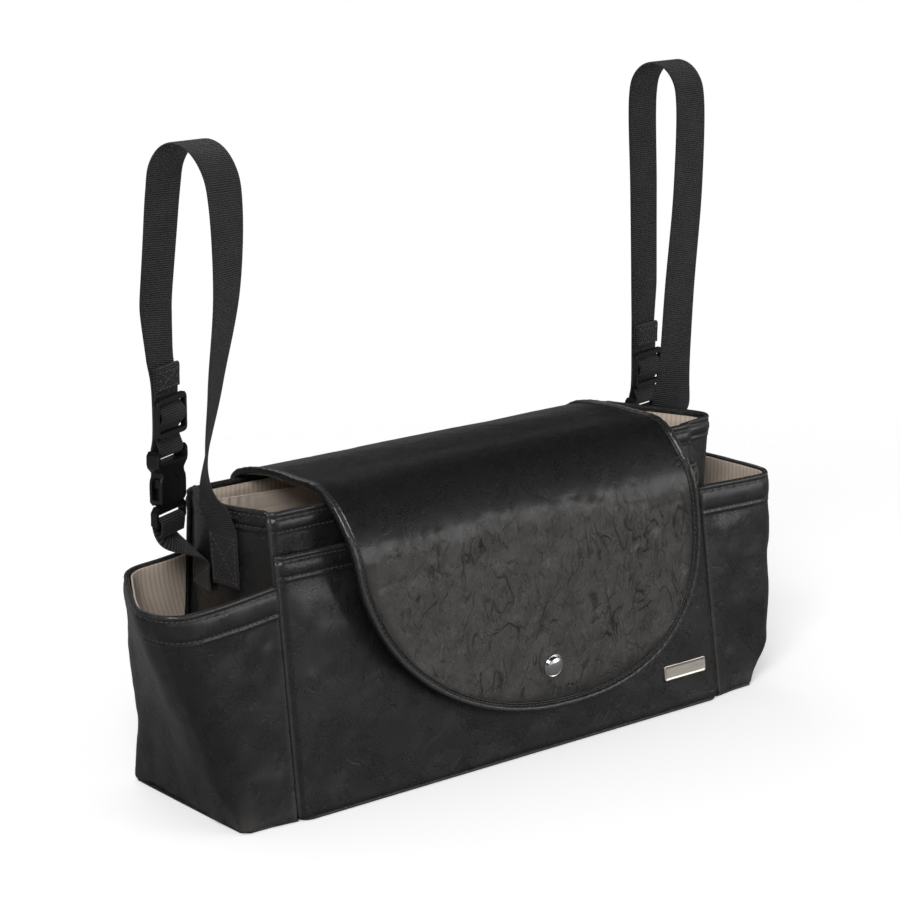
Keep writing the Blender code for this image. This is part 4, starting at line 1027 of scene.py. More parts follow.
def stitched(name, lines, tree, body):
    """All the stitches of one body as a plain mesh."""
    points, edges, normals = [], [], []
    for line, normal in lines:
        start = len(points)
        points += [tuple(p) for p in line]
        normals += [tuple(n) for n in normal]
        edges += [(start + k, start + k + 1) for k in range(len(line) - 1)]
    mesh = bpy.data.meshes.new(name + "_lines")
    mesh.from_pydata(points, edges, [])
    made = mesh.attributes.new("face_direction", "FLOAT_VECTOR", "POINT")
    made.data.foreach_set("vector", np.asarray(normals, np.float32).ravel())
    guide = bpy.data.objects.new(name + "_lines", mesh)
    bpy.context.scene.collection.objects.link(guide)
    step = guide.modifiers.new("stitching", "NODES")
    step.node_group = tree
    wanted = {
        "Pitch": sizes().stitch_pitch,
        "Length": sizes().stitch_length,
        "Width": sizes().thread_width,
        "Thread": thread_look(),
    }
    for item in tree.interface.items_tree:
        if item.in_out == "INPUT" and item.name in wanted:
            step[item.identifier] = wanted[item.name]
    guide.update_tag()
    graph = bpy.context.evaluated_depsgraph_get()
    result = bpy.data.meshes.new_from_object(guide.evaluated_get(graph))
    result.name = name
    bpy.data.objects.remove(guide)
    if not len(result.polygons):
        raise RuntimeError(f"{name}: the stitching came out empty")
    result.materials.clear()
    return finished(name, result, [thread_look()], body)


# Panels


def hem_heights(low, top, hem, step=2.6 * MM):
    """Row heights with rows close together at the hem's edge, at its stitch rows and at the rim."""
    plain = np.arange(low, top - hem - 2.5 * MM, step)
    close = np.arange(top - hem - 2.0 * MM, top - 1.0 * MM, 0.7 * MM)
    return np.concatenate([plain, close, [top - 0.7 * MM, top - 0.3 * MM]])


def hem_profile(z, top, hem, base):
    """Thickness of the leather up a hemmed panel."""
    return base + HEM_EXTRA * smooth((z - (top - hem - 0.9 * MM)) / (1.2 * MM))


def sewn_hem(skin, heights, z, top, rows_below, trim):
    """A hem's padded band, its two stitch rows with their grooves, and its rim lightened by wear and a painted
    highlight along the rolled edge.
    """
    pull = 0.65 + 0.35 * np.sin(skin.u * (TURN / (2 * sizes().stitch_pitch)))
    near, far = rows_below
    for below in rows_below:
        skin.press(-sizes().groove_depth * groove(z - (top - below)) * pull)
    skin.press(HEM_PAD * np.sin(math.pi * np.clip((top - near - z) / (far - near), 0, 1)) ** 0.8)
    # The hem's rim lightened: wear and a painted highlight along the rolled edge.
    skin.wear_and_painted_light(0.5 * smooth((z - top + 1.6 * MM) / (1.4 * MM)))
    for below in rows_below:
        sew("bag", skin.row(row_at(heights, top - below), STITCH_PROUD), (trim, trim))


def leather_piece(name, skin, node):
    return finished(name, skin.mesh(name), [leather_look()], "bag", (node,))


def row_at(heights, z):
    return float(np.interp(z, heights, np.arange(len(heights))))


def panel_columns(span, cols):
    edge = EDGE_ROLL / span
    return np.concatenate(
        [np.linspace(0, edge, 7)[:-1], np.linspace(edge, 1 - edge, cols - 12), np.linspace(1 - edge, 1, 7)[1:]]
    )


def long_panel_skin(out, low, top, hem, offset=0.0, bulge=0.0, puff=0.0, cols=150):
    heights = hem_heights(low, top, hem)
    share = panel_columns(LENGTH, cols)
    grid = np.zeros((len(heights), len(share), 3))
    for i, z in enumerate(heights):
        left, right = side_x(-1, z), side_x(1, z)
        span = right - left
        near = np.minimum(share, 1 - share) * span
        roll = 0.45 * EDGE_ROLL * (1 - smooth(near / EDGE_ROLL)) ** 1.4
        wave = np.sin(math.pi * share) ** 0.8
        mouth = smooth(z / top) ** 1.2
        belly = puff * wave * math.sin(math.pi * min(z / top, 1)) + bulge * np.sin(math.pi * share) ** 2 * mouth
        base = front_y(z) if out < 0 else back_y(z)
        grid[i, :, 0] = left + share * span
        grid[i, :, 1] = base + out * (offset - SKIN / 2 + belly) - out * roll
        grid[i, :, 2] = z
    z = grid[..., 2]
    skin = Skin(grid, hem_profile(z, top, hem, SKIN), (0, out, 0))
    return skin, heights


def long_panel_piece(name, node, out, low, top, hem, seed, offset=0.0, bulge=0.0, puff=0.0, rows=PANEL_ROWS):
    """A front or back panel with its hem, its soft waves and its stitch rows."""
    skin, heights = long_panel_skin(out, low, top, hem, offset, bulge, puff)
    x, z = skin.grid[..., 0], skin.grid[..., 2]
    calm = skin.calm(14 * MM) * (smooth((top - hem - z) / (16 * MM)) * 0.85 + 0.15)
    depth = sizes().ripple_depth
    soft = depth * cloud(x, z * 0.7, 70 * MM, seed) + 0.35 * depth * cloud(x, z, 24 * MM, seed + 5)
    fold = -0.5 * depth * (1 - wrinkles(x, z * 0.6, 46 * MM, seed + 9)) * value_noise(x / 0.06, z / 0.06, seed + 3)
    skin.ripple((soft + fold) * calm * 0.8)
    sewn_hem(skin, heights, z, top, rows, 2)
    skin.masks["crumple"] += 0.22
    # Side seams lightened: wear and a painted highlight along the rolled edge.
    skin.wear_and_painted_light(0.6 * skin.seam_edges())
    return leather_piece(name, skin, node)


def gusset_piece(name, node, side, seed):
    heights = hem_heights(SKIN + GAP, RIM_HEIGHT, RIM_HEM)
    cols = 61
    grid = np.zeros((len(heights), cols, 3))
    for i, z in enumerate(heights):
        y = np.linspace(*gusset_span(z), cols)
        grid[i, :, 0] = gusset_x(side, y, z) - side * HEM_EXTRA / 2
        grid[i, :, 1] = y
        grid[i, :, 2] = z
    z = grid[..., 2]
    skin = Skin(grid, hem_profile(z, RIM_HEIGHT, RIM_HEM, SKIN), (side, 0, 0))
    skin.ripple(0.8 * MM * cloud(skin.u, z * 0.5, 34 * MM, seed) * skin.calm(10 * MM))
    sewn_hem(skin, heights, z, RIM_HEIGHT, GUSSET_ROWS, 1)
    skin.masks["crumple"] += 0.3
    return leather_piece(name, skin, node)


def pocket_piece(name, node, side, seed):
    """An end pocket: flared wall, wide hem, soft dents and a folded corner at its foot, with a painted highlight on
    that corner and on the seam edges.
    """
    heights = hem_heights(SKIN + GAP, POCKET_HEIGHT, POCKET_HEM, 2.4 * MM)
    grid = pocket_grid(side, heights)
    level = np.broadcast_to(heights[:, None], grid.shape[:2])
    skin = Skin(grid, hem_profile(level, POCKET_HEIGHT, POCKET_HEM, SKIN), (side, 0, 0))
    u, v = skin.u, skin.v
    below_hem = smooth((POCKET_HEIGHT - POCKET_HEM - level) / (12 * MM))
    foot = 1 - smooth(level / (26 * MM))
    depth = sizes().ripple_depth
    soft = 1.1 * depth * cloud(u + 0.4 * v, v * 0.6, 60 * MM, seed) + 0.3 * depth * cloud(u, v, 22 * MM, seed + 4)
    pleat = -0.8 * depth * (1 - wrinkles(u + 0.5 * v, v * 0.5, 48 * MM, seed + 7)) * foot
    skin.ripple((soft * (0.35 + 0.65 * below_hem) + pleat) * skin.calm(12 * MM))
    sewn_hem(skin, heights, level, POCKET_HEIGHT, POCKET_ROWS, 2)
    skin.masks["crumple"] += 0.25 + 0.35 * foot
    # Painted highlight on the folded corner at the foot, and wear with painted highlight along the seam edges.
    tip = skin.grid[0, np.argmax(side * skin.grid[0, :, 0] - skin.grid[0, :, 1])]
    near_tip = np.exp(-((np.linalg.norm(skin.grid - tip, axis=-1) / (10 * MM)) ** 2))
    skin.wear_and_painted_light(np.maximum(0.55 * near_tip, 0.6 * skin.seam_edges()))
    return leather_piece(name, skin, node)


def pocket_lining_piece(name, node, side):
    grid = pocket_grid(side, np.linspace(SKIN + GAP + LINING, POCKET_HEIGHT - 1 * MM, 30))
    normal = np.cross(np.gradient(grid, axis=0), np.gradient(grid, axis=1))
    normal[..., 2] = 0
    normal = unit(normal)
    middle = POCKET_STEPS // 2
    if np.dot(normal[15, middle], (side, 0, 0)) < 0:
        normal = -normal
    grid = grid - normal * (SKIN / 2 + HEM_EXTRA / 2 + GAP + LINING / 2)
    skin = Skin(grid[:, 1:-1], LINING, (side, 0, 0))
    skin.ripple(0.5 * MM * (cloud(skin.u, skin.v, 30 * MM, 70 + side) - 0.6))
    return finished(name, skin.mesh(name), [lining_look()], "bag", (node,))


def floor_piece(name, node, rounding=1.0 * MM):
    """A floor panel of the bag, with its edge turned over."""
    source = bmesh.new()
    source.from_mesh(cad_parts[node].data)
    bmesh.ops.remove_doubles(source, verts=source.verts, dist=1e-6)
    flat = [e for e in source.edges if e.calc_face_angle(0.0) < math.radians(1)]
    bmesh.ops.dissolve_edges(source, edges=flat, use_verts=False)
    sharp = [e for e in source.edges if e.calc_face_angle(0.0) > math.radians(60)]
    bmesh.ops.bevel(source, geom=sharp, offset=rounding, segments=3, affect="EDGES", profile=0.5)
    bmesh.ops.triangulate(source, faces=[f for f in source.faces if len(f.verts) > 4])
    mesh = bpy.data.meshes.new(name)
    source.to_mesh(mesh)
    source.free()
    for key, value in (("crumple", 0.2), ("worn", 0.25)):
        mask = mesh.attributes.new(key, "FLOAT", "POINT")
        mask.data.foreach_set("value", np.full(len(mesh.vertices), value, np.float32))
    return finished(name, mesh, [leather_look()], "bag", (node,), smooth_faces=False)


def body_outline(z, inset, count):
    points = []
    low, high = front_y(z) + SLIP_LAYER + inset, back_y(z) - inset
    for side, back in ((1, False), (-1, True)):
        x0 = side_x(-side, z) + side * inset
        x1 = side_x(side, z) - side * inset
        y = high if back else low
        points += [(x, y) for x in np.linspace(x0, x1, 3 * count + 2)[:-1]]
        ys = np.linspace(low, high, count)
        ys = ys[::-1] if back else ys
        for v in ys[:-1]:
            reach = HEM_EXTRA / 2 + (inset - GUSSET_TO_LINING) * math.hypot(1, gusset_slope(side, v, z))
            points.append((gusset_x(side, v, z) - side * reach, v))
    return np.array(points)


def main_lining_piece():
    """The lining hung inside the four walls, loose enough to ripple, and its floor."""
    outer, inner = PANEL_DEPTH, PANEL_DEPTH + LINING
    bottom, top = SKIN + GAP, BACK_RIM - 5 * MM
    heights = np.linspace(bottom, top, 34)
    loops = [[(x, y, z) for x, y in body_outline(z, outer, 30)] for z in heights]
    inside = [[(x, y, z) for x, y in body_outline(z, inner, 30)] for z in [*heights[:0:-1], bottom + LINING]]
    inside = np.array(inside)
    centre = inside.mean(1, keepdims=True)
    steps = np.linalg.norm(np.diff(inside[0], axis=0, append=inside[0][:1]), axis=1)
    around = np.concatenate([[0], np.cumsum(steps)[:-1]])
    wave = 0.5 + 0.5 * cloud(around[None, :], inside[:, 0, 2][:, None], 26 * MM, 301)
    wave *= smooth((top - inside[..., 2]) / (30 * MM)) * smooth((inside[..., 2] - bottom) / (10 * MM))
    inside[..., :2] += (unit(centre - inside) * (1.2 * MM * np.clip(wave, 0, 1))[..., None])[..., :2]
    walls = np.concatenate([loops, inside])
    back = smooth((walls[..., 1] - 0.5 * back_y(top)) / (0.3 * back_y(top)))
    rise = RIM_HEIGHT - top - 2 * MM - back * (RIM_HEIGHT - BACK_RIM - 0.5 * MM)
    walls[..., 2] += rise * smooth((walls[..., 2] - bottom) / (top - bottom) * 2 - 1)
    points, faces, _ = swept(walls)
    count = len(loops) + len(inside)
    up = np.array([*heights, *heights[:0:-1], bottom + LINING])
    uvs = np.stack([np.broadcast_to(around, (count, len(around))), np.repeat(up[:, None], len(around), 1)], -1)
    uvs = np.concatenate([uvs.reshape(-1, 2), [[0, 0]], [[0, 0]]])
    mesh = mesh_of("main_lining_cloth", points, faces, uvs)
    return finished("main_lining_cloth", mesh, [lining_look()], "bag", ("main_lining",))


def inner_pocket_piece(name, node, span, heights, stand, gathers, look, seed):
    """A pocket on the back wall's lining, its mouth standing off; gathers draws the mouth up on elastic."""
    left, right = span
    low, top = heights
    z = np.concatenate([np.linspace(low, top - 12 * MM, 40), np.linspace(top - 11.4 * MM, top, 18)])
    share = np.linspace(0, 1, 181)
    grid = np.zeros((len(z), len(share), 3))
    inner = PANEL_DEPTH + LINING
    mouth = smooth((z - low) / (top - low)) ** 0.8
    bag = stand * mouth[:, None] * np.sin(math.pi * share)[None, :] ** 0.7
    close = smooth((z - top + GATHER_DEPTH) / GATHER_DEPTH)[:, None]
    turn = TURN * share * gathers + 1.5 * cloud(share * 6, share * 0, 1.0, seed)
    drawn = 0.03 + 0.97 * np.exp(-((share / 0.12) ** 2))
    ripple = (drawn * (0.5 - 0.5 * np.cos(turn)))[None, :] * 2.1 * MM * close * (gathers > 0)
    ends = smooth(np.minimum(share, 1 - share) / 0.04)
    grid[..., 0] = left + share * (right - left)
    grid[..., 1] = (back_y(z) - inner - GAP - LINING / 2)[:, None] - bag - ripple * ends
    grid[..., 2] = z[:, None]
    skin = Skin(grid, LINING * 0.8, (0, -1, 0))
    skin.ripple(0.6 * MM * cloud(skin.u, skin.v, 30 * MM, seed + 2) * (1 - 0.6 * close) * ends)
    casing = 10 * MM if gathers else 8 * MM
    for below in (1.2 * MM, casing):
        skin.press(-0.2 * MM * groove(grid[..., 2] - (top - below), 0.8 * MM))
    piece = finished(name, skin.mesh(name), [look], "bag", (node,))
    return piece


# Flap


def flap_skin():
    inset = BINDING_WIDTH * 0.55
    rows = [*np.linspace(-1, 0, 96), *np.linspace(0, 1, 62)[1:]]
    grid = np.array([[flap_at(a, b, inset) for a in np.linspace(-1, 1, 141)] for b in rows])
    return Skin(grid, FLAP_THICK, (0, -0.4, 1))


def flap_piece():
    """The flap: smooth over the top, crumpled down the front where it hangs."""
    skin = flap_skin()
    x, y, z = skin.grid[..., 0], skin.grid[..., 1], skin.grid[..., 2]
    u, v = skin.u, skin.v
    fray = 4 * MM * cloud(x, v, 24 * MM, 33) + 3 * MM * cloud(x, 0.2 * v, 5 * MM, 35)
    hangs = smooth((RIM_HEIGHT - 22 * MM - z + fray) / (11 * MM)) * smooth(-y / (30 * MM))
    edge = np.minimum(np.minimum(u, u[:, -1:] - u), skin.v[-1:] - v)
    calm = smooth(edge / (14 * MM))
    depth = sizes().crumple_depth
    coarse = wrinkles(x, 0.55 * v, 24 * MM, 41)
    small = wrinkles(x + 0.3 * v, 0.6 * v, 12 * MM, 57)
    crumple = depth * (0.9 * coarse + 0.4 * small - 0.9)
    slack = sizes().ripple_depth * (0.55 * cloud(x, v, 60 * MM, 77) + 0.25 * cloud(x, v, 20 * MM, 79))
    top_lines = 0.16 * MM * (wrinkles(x + 0.8 * v, v - 0.5 * x, 34 * MM, 91) - 1)
    skin.ripple(calm * (hangs * (crumple + slack) + (1 - hangs) * (0.25 * slack + top_lines)))
    # The crumple mask also lightens the hanging part's colour as rubbed leather and painted sheen, with painted shade
    # in its creases.
    skin.masks["crumple"] += 0.12 + 0.88 * hangs * (0.4 + 0.6 * calm)
    mesh = skin.mesh("flap_leather", two_faced=True, rounds=1)
    flap = finished("flap_leather", mesh, [leather_look(), lining_look()], "bag", ("flap",))
    skin.area()


def flap_edge(inset):
    line = [flap_at(-1, b, inset) for b in np.linspace(-1, 0, 110)]
    line += [flap_at(-1, b, inset) for b in np.linspace(0, 1, 50)[1:]]
    line += [flap_at(a, 1, inset) for a in np.linspace(-1, 1, 121)[1:]]
    line += [flap_at(1, b, inset) for b in np.linspace(1, 0, 50)[1:]]
    line += [flap_at(1, b, inset) for b in np.linspace(0, -1, 110)[1:]]
    return np.array(line)


def binding_piece():
    """The edging: a leather strip folded round the flap's edge over a soft core, and sewn down."""
    outer, inner = flap_edge(0.0), flap_edge(BINDING_WIDTH)
    for _ in range(6):
        for line in (outer, inner):
            line[1:-1] = 0.25 * line[:-2] + 0.5 * line[1:-1] + 0.25 * line[2:]
    across = outer - inner
    normal = unit(np.cross(np.gradient(0.5 * (outer + inner), axis=0), across))
    if normal[len(normal) // 2][1] > 0:
        normal = -normal
    half = BINDING_THICK / 2
    sewn = 0.30
    upper = [(0.0, 0.62), (0.03, 0.9), (0.1, 1.02), (0.18, 0.96), (0.24, 0.8), (sewn, 0.62), (0.36, 0.8), (0.43, 1.05)]
    upper += [(0.52, 1.28), (0.64, 1.45), (0.76, 1.4), (0.87, 1.12), (0.95, 0.72), (0.99, 0.3)]
    under = [(u, -0.85 * min(v, 1.0)) for u, v in upper[::-1]]
    profile = [*upper, *under]
    length = np.concatenate([[0], np.cumsum(np.linalg.norm(np.diff(outer, axis=0), axis=1))])
    between = np.sin(length * TURN / (2 * sizes().stitch_pitch))
    pucker = 1 + 0.05 * between + 0.05 * cloud(length, length * 0, 14 * MM, 131)
    loops = np.array(
        [
            [inner[k] + across[k] * u + normal[k] * (v * half * (pucker[k] if v > 1 else 1)) for u, v in profile]
            for k in range(len(outer))
        ]
    )
    points, faces, uvs = swept(loops, [u * BINDING_WIDTH for u, _ in profile])
    # Lighter colour along the edging's ridge: a painted highlight.
    worn = np.array([0.85 * smooth((u - 0.45) / 0.25) * smooth((0.95 - u) / 0.2) for u, _ in profile])
    masks = {
        "worn": np.concatenate([np.tile(worn, len(outer)), [0, 0]]),
        "crumple": np.full(len(points), 0.15),
    }
    mesh = mesh_of("flap_edging", points, faces, uvs, masks)
    line = inner + across * sewn + normal * (half * 0.62 + 0.2 * MM)
    sew("bag", (line, normal), (2, 2))
    return finished("flap_edging", mesh, [leather_look()], "bag", ("flap_binding",))


# Straps


def buckle_axes(side):
    angle = math.radians(STRAPS[side]["turn"])
    return (
        np.array((math.cos(angle), math.sin(angle), 0.0)),
        np.array((math.sin(angle), -math.cos(angle), 0.0)),
        np.array((0.0, 0.0, 1.0)),
    )


def in_buckle(side, width, out, up):
    a, n, u = buckle_axes(side)
    return np.array(STRAPS[side]["buckle"]) + a * width + n * out + u * up


def run_turn(side, z):
    s = STRAPS[side]
    start, end = s["split_z"] + RUN_EASE, s["slider_z"] + TURN_EASE
    return s["turn"] * smooth((start - z) / (start - end))


def buckle_run(side, z):
    s = STRAPS[side]
    start = in_buckle(side, 0, MAIN_LAYER, 0)
    share = (z - s["slider_z"]) / (s["top_z"] - s["slider_z"] - RUN_EASE)
    x = start[0] + (s["x"] - start[0]) * smooth(share)
    y = start[1] + (s["back_y"][1] - start[1]) * smooth(share * RUN_BACK)
    return np.array((x, y, z))


def loop_line(side, count=240):
    """Middle and width direction of the sewn leg, the arch and the upper buckle leg."""
    s = STRAPS[side]
    x, top = s["x"], s["top_z"] - WEB_THICK / 2
    front, low = s["front_y"]
    back = s["back_y"][0]
    radius = (back - front) / 2
    sewn_top = RIM_HEIGHT - SEWN_DROP
    clear = RIM_HEIGHT + RIM_CLEAR
    y = s["sewn_y"]
    hug = SKIN / 2 + GAP + WEB_THICK / 2
    stations = []
    for z in np.linspace(sewn_top - SEWN_LENGTH, sewn_top, 5):
        stations.append((gusset_x(side, y, z) + side * hug, y, z))
    stations.append((x, low, clear))
    rise = top - radius
    for t in (0.35, 0.7):
        stations.append((x, low + (front - low) * smooth(t * 1.3), clear + t * (rise - clear)))
    for angle in np.radians((180, 150, 120, 90, 60, 30, 0)):
        stations.append((x, (front + back) / 2 + radius * math.cos(angle), rise + radius * math.sin(angle)))
    end = buckle_run(side, s["split_z"])
    stations.append(0.5 * (np.array(stations[-1]) + end))
    stations.append(end + np.array((0, 0, GAP)))
    line = curve_through(stations, count)
    peak = int(np.argmax(line[:, 2]))
    turns = []
    for k, p in enumerate(line):
        if k <= peak:
            fall = np.clip((top - p[2]) / (top - RIM_HEIGHT), 0, 1)
            full = TWIST_EARLY[side] * fall**TWIST_SLOW + (1 - TWIST_EARLY[side]) * fall ** TWIST_LATE[side]
            turns.append(sewn_turn(side, y, min(p[2], sewn_top)) * full)
        else:
            share = (line[peak, 2] - p[2]) / (line[peak, 2] - s["split_z"])
            turns.append(run_turn(side, s["split_z"]) * smooth(share))
    return line, turns


def end_line(side, count=260):
    """The adjustable end: down to the buckle's bar, round it, up through the slider, to the hemmed tab."""
    s = STRAPS[side]
    bar = BUCKLE_HEIGHT - LOOP_BAR / 2
    wrap = LOOP_BAR / math.sqrt(2) + GAP + WEB_THICK / 2
    low = s["slider_z"] - s["buckle"][2] - SLIDER_SIZE[1] / 2
    high = low + SLIDER_SIZE[1]
    middle = 0.5 * (low + high)
    over = SLIDER_FORWARD + SLIDER_THICK * 0.1 + GAP + WEB_THICK
    stations = []
    for z in np.linspace(s["split_z"] + GAP, s["slider_z"] + SLIDER_LEAD, 4):
        stations.append(buckle_run(side, z))
    stations.append(in_buckle(side, 0, MAIN_LAYER, high + SLIDER_ENTRY))
    stations.append(in_buckle(side, 0, MAIN_LAYER, low))
    for angle in np.radians((-180, -140, -90, -40, 0)):
        stations.append(in_buckle(side, 0, wrap * math.cos(angle), bar + wrap * math.sin(angle)))
    for out, up in (
        (RETURN_LAYER, low),
        (RETURN_LAYER, low + SLIDER_BAR),
        (over, middle - OVER_BAR),
        (over, middle + OVER_BAR),
        (RETURN_LAYER, high - SLIDER_BAR),
        (RETURN_LAYER, high + 1 * MM),
        (RETURN_LAYER, high + TAB_LENGTH),
    ):
        stations.append(in_buckle(side, 0, out, up))
    line = curve_through(stations, count)
    lowest = int(np.argmin(line[:, 2]))
    turns = [run_turn(side, p[2]) if k < lowest else s["turn"] for k, p in enumerate(line)]
    return line, turns


def tab_line(side, count=120):
    """The short webbing that holds the buckle's lower half to the gusset."""
    s = STRAPS[side]
    bar = -TONGUE_BODY + LOOP_BAR / 2
    wrap = LOOP_BAR / math.sqrt(2) + GAP + WEB_THICK / 2
    foot = s["buckle"][2] - TONGUE_BODY
    peel = foot - TAB_PEEL
    y = s["buckle"][1] - TAB_FORWARD
    hug = SKIN / 2 + HEM_EXTRA / 2 + GAP + WEB_THICK / 2
    stations = []
    for z in np.linspace(foot - TAB_SEWN, peel, 3):
        stations.append((gusset_x(side, y, z) + side * hug, y, z))
    stations.append(in_buckle(side, 0, -0.3 * wrap, -TONGUE_BODY - TAB_LEAD))
    for angle in np.radians((180, 140, 90, 40, 0)):
        stations.append(in_buckle(side, 0, wrap * math.cos(angle), bar + wrap * math.sin(angle)))
    stations.append(in_buckle(side, 0, 0.72 * wrap, -TONGUE_BODY - TAB_CLOSE))
    line = curve_through(stations, count)
    top = int(np.argmax(line[:, 2]))
    turns = []
    for k, p in enumerate(line):
        full = smooth((foot - TAB_EASE - p[2]) / TAB_TWIST)
        flat = sewn_turn(side, y, min(p[2], peel))
        turns.append(s["turn"] + (flat - s["turn"]) * full if k < top else s["turn"])
    return line, turns


def strap_line(side, reach=24, rounds=40):
    """The loop and the adjustable end as one run of webbing, eased where they meet."""
    (loop, loop_turns), (end, end_turns) = loop_line(side), end_line(side)
    cut = len(loop) - 1
    line = np.column_stack([np.concatenate([loop, end[1:]]), [*loop_turns, *end_turns[1:]]])
    for _ in range(rounds):
        near, stop = cut - reach, cut + reach + 1
        line[near:stop] = (line[near - 1 : stop - 1] + 2 * line[near:stop] + line[near + 1 : stop + 1]) / 4
    return Webbing(line[:, :3], line[:, 3]), cut


class Webbing:
    """Woven tape along a line, with rounded selvedges and a flat face."""

    def __init__(self, line, turns, thick=WEB_THICK, width=WEB):
        self.line = np.asarray(line, float)
        along = unit(np.gradient(self.line, axis=0))
        angle = np.radians(np.asarray(turns, float))
        across = np.stack([np.cos(angle), np.sin(angle), np.zeros_like(angle)], -1)
        self.across = unit(across - along * np.sum(along * across, axis=1, keepdims=True))
        self.normal = np.cross(along, self.across)
        self.along = along
        self.thick = thick
        self.width = width

    def part(self, start, stop):
        piece = copy.copy(self)
        for name in ("line", "across", "normal", "along"):
            setattr(piece, name, getattr(self, name)[start:stop])
        return piece

    def mesh(self, name):
        half = self.thick / 2
        steps = [-0.5, -0.492, -0.47, *np.linspace(-0.44, 0.44, 12), 0.47, 0.492, 0.5]
        top = [0.0, 0.62, 0.9, *[1.0] * 12, 0.9, 0.62, 0.0]
        profile = [*zip(steps, top), *[(u, -v) for u, v in list(zip(steps, top))[-2:0:-1]]]
        loops = [
            [
                self.line[k] + self.across[k] * self.width * u + self.normal[k] * half * v
                for u, v in profile
            ]
            for k in range(len(self.line))
        ]
        points, faces, uvs = swept(loops, [(u + 0.5) * self.width for u, _ in profile])
        length = np.concatenate([[0], np.cumsum(np.linalg.norm(np.diff(self.line, axis=0), axis=1))])
        uvs[: len(loops) * len(profile), 1] = np.repeat(length, len(profile))
        return mesh_of(name, points, faces, uvs)

    def seam(self, start, stop, across_from, across_to, face=1, count=12):
        """A straight stitch line on the tape; start and stop are shares of its length."""
        at = np.linspace(start, stop, count) * (len(self.line) - 1)
        side = np.linspace(across_from, across_to, count)

        def between(field):
            return np.stack([np.interp(at, np.arange(len(field)), field[:, i]) for i in range(3)], -1)

        normal = unit(between(self.normal)) * face
        points = between(self.line) + between(self.across) * (side * self.width)[:, None]
        return points + normal * (self.thick / 2 + 0.1 * MM), normal

    def box_stitch(self, body, start, stop, face, cross=True, inset=0.4):
        """A sewn rectangle with a cross in it."""
        sides = [(start, start, -inset, inset), (stop, stop, -inset, inset)]
        sides += [(start, stop, -inset, -inset), (start, stop, inset, inset)]
        if cross:
            sides += [(start, stop, -inset, inset), (start, stop, inset, -inset)]
        for a, b, c, d in sides:
            sew(body, self.seam(a, b, c, d, face))

    def piece(self, name, body, *nodes):
        return finished(name, self.mesh(name), [webbing_look()], body, nodes)


def strap_pieces(side, word):
    """One strap: the sewn loop, its adjustable end and the short tab below the buckle."""
    body = word + "_buckle"
    s = STRAPS[side]
    whole, cut = strap_line(side)
    loop, end = whole.part(0, cut + 1), whole.part(cut, None)
    loop.piece(f"{word}_loop_webbing", "bag", f"{word}_strap_loop")
    outward = 1 if np.dot(loop.normal[4], (side, 0, 0)) > 0 else -1
    share = SEWN_LENGTH / np.linalg.norm(np.diff(loop.line, axis=0), axis=1).sum()
    loop.box_stitch("bag", 0.1 * share, 0.92 * share, outward)
    piece = end.piece(f"{word}_end_webbing", None, f"{word}_strap_end")
    top = s["slider_z"] + SLIDER_SIZE[1] / 2 + TAB_LENGTH + 6 * MM
    min(top, s["split_z"] - 4 * MM)
    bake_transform(piece)
    tip = end.line[-1]
    n = buckle_axes(side)[1]
    hem_line = [
        tip + n * (WEB_THICK + 0.15 * MM) * t - np.array((0, 0, 1)) * d
        for t, d in ((0.0, -0.2 * MM), (0.5, -0.9 * MM), (1.0, -0.1 * MM), (1.0, TAB_FOLD * 0.5), (1.0, TAB_FOLD))
    ]
    hem = Webbing(curve_through(hem_line, 40), [s["turn"]] * 40, WEB_THICK * 0.95)
    hem.piece(f"{word}_tab_hem", body)
    facing = 1 if np.dot(hem.normal[-1], n) > 0 else -1
    hem.box_stitch(body, 0.3, 0.93, facing, cross=True, inset=0.36)
    tab = Webbing(*tab_line(side))
    tab.piece(f"{word}_tab_webbing", "bag", f"{word}_anchor_tab")
    outward = 1 if np.dot(tab.normal[4], (side, 0, 0)) > 0 else -1
    tab.box_stitch("bag", 0.03, 0.2, outward)


# Rigid trim


def softened(name, node, look, body, width=0.5 * MM, angle=28):
    """A moulded piece on its solid's own shape, with the edges rounded as a mould leaves them."""
    source = bmesh.new()
    source.from_mesh(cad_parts[node].data)
    bmesh.ops.remove_doubles(source, verts=source.verts, dist=2e-6)
    bmesh.ops.dissolve_limit(
        source, angle_limit=math.radians(1.0), verts=source.verts, edges=source.edges, delimit=set()
    )
    mesh = bpy.data.meshes.new(name)
    source.to_mesh(mesh)
    source.free()
    piece = finished(name, mesh, [look], body, (node,), smooth_faces=False)
    bevel = piece.modifiers.new("edges", "BEVEL")
    bevel.width = width
    bevel.segments = 3
    bevel.limit_method = "ANGLE"
    bevel.angle_limit = math.radians(angle)
    bevel.use_clamp_overlap = True
    bevel.harden_normals = True
    return piece


def round_piece(name, profile, centre, look, body, replaced=(), tilt=0.0, turns=72):
    """A turned piece on an axis along -Y: pairs of radius and reach, tilted about X."""
    loops = []
    for radius, reach in profile:
        angle = np.linspace(0, TURN, turns, endpoint=False)
        ring = np.stack([radius * np.cos(angle), np.full(turns, -reach), radius * np.sin(angle)], -1)
        c, s = math.cos(tilt), math.sin(tilt)
        y, z = ring[:, 1] * c - ring[:, 2] * s, ring[:, 1] * s + ring[:, 2] * c
        loops.append(np.stack([ring[:, 0], y, z], -1) + np.asarray(centre))
    points, faces, uvs = swept(loops)
    mesh = mesh_of(name, points, faces, uvs)
    piece = finished(name, mesh, [look], body, replaced)
    piece.data.set_sharp_from_angle(angle=math.radians(50))
    return piece


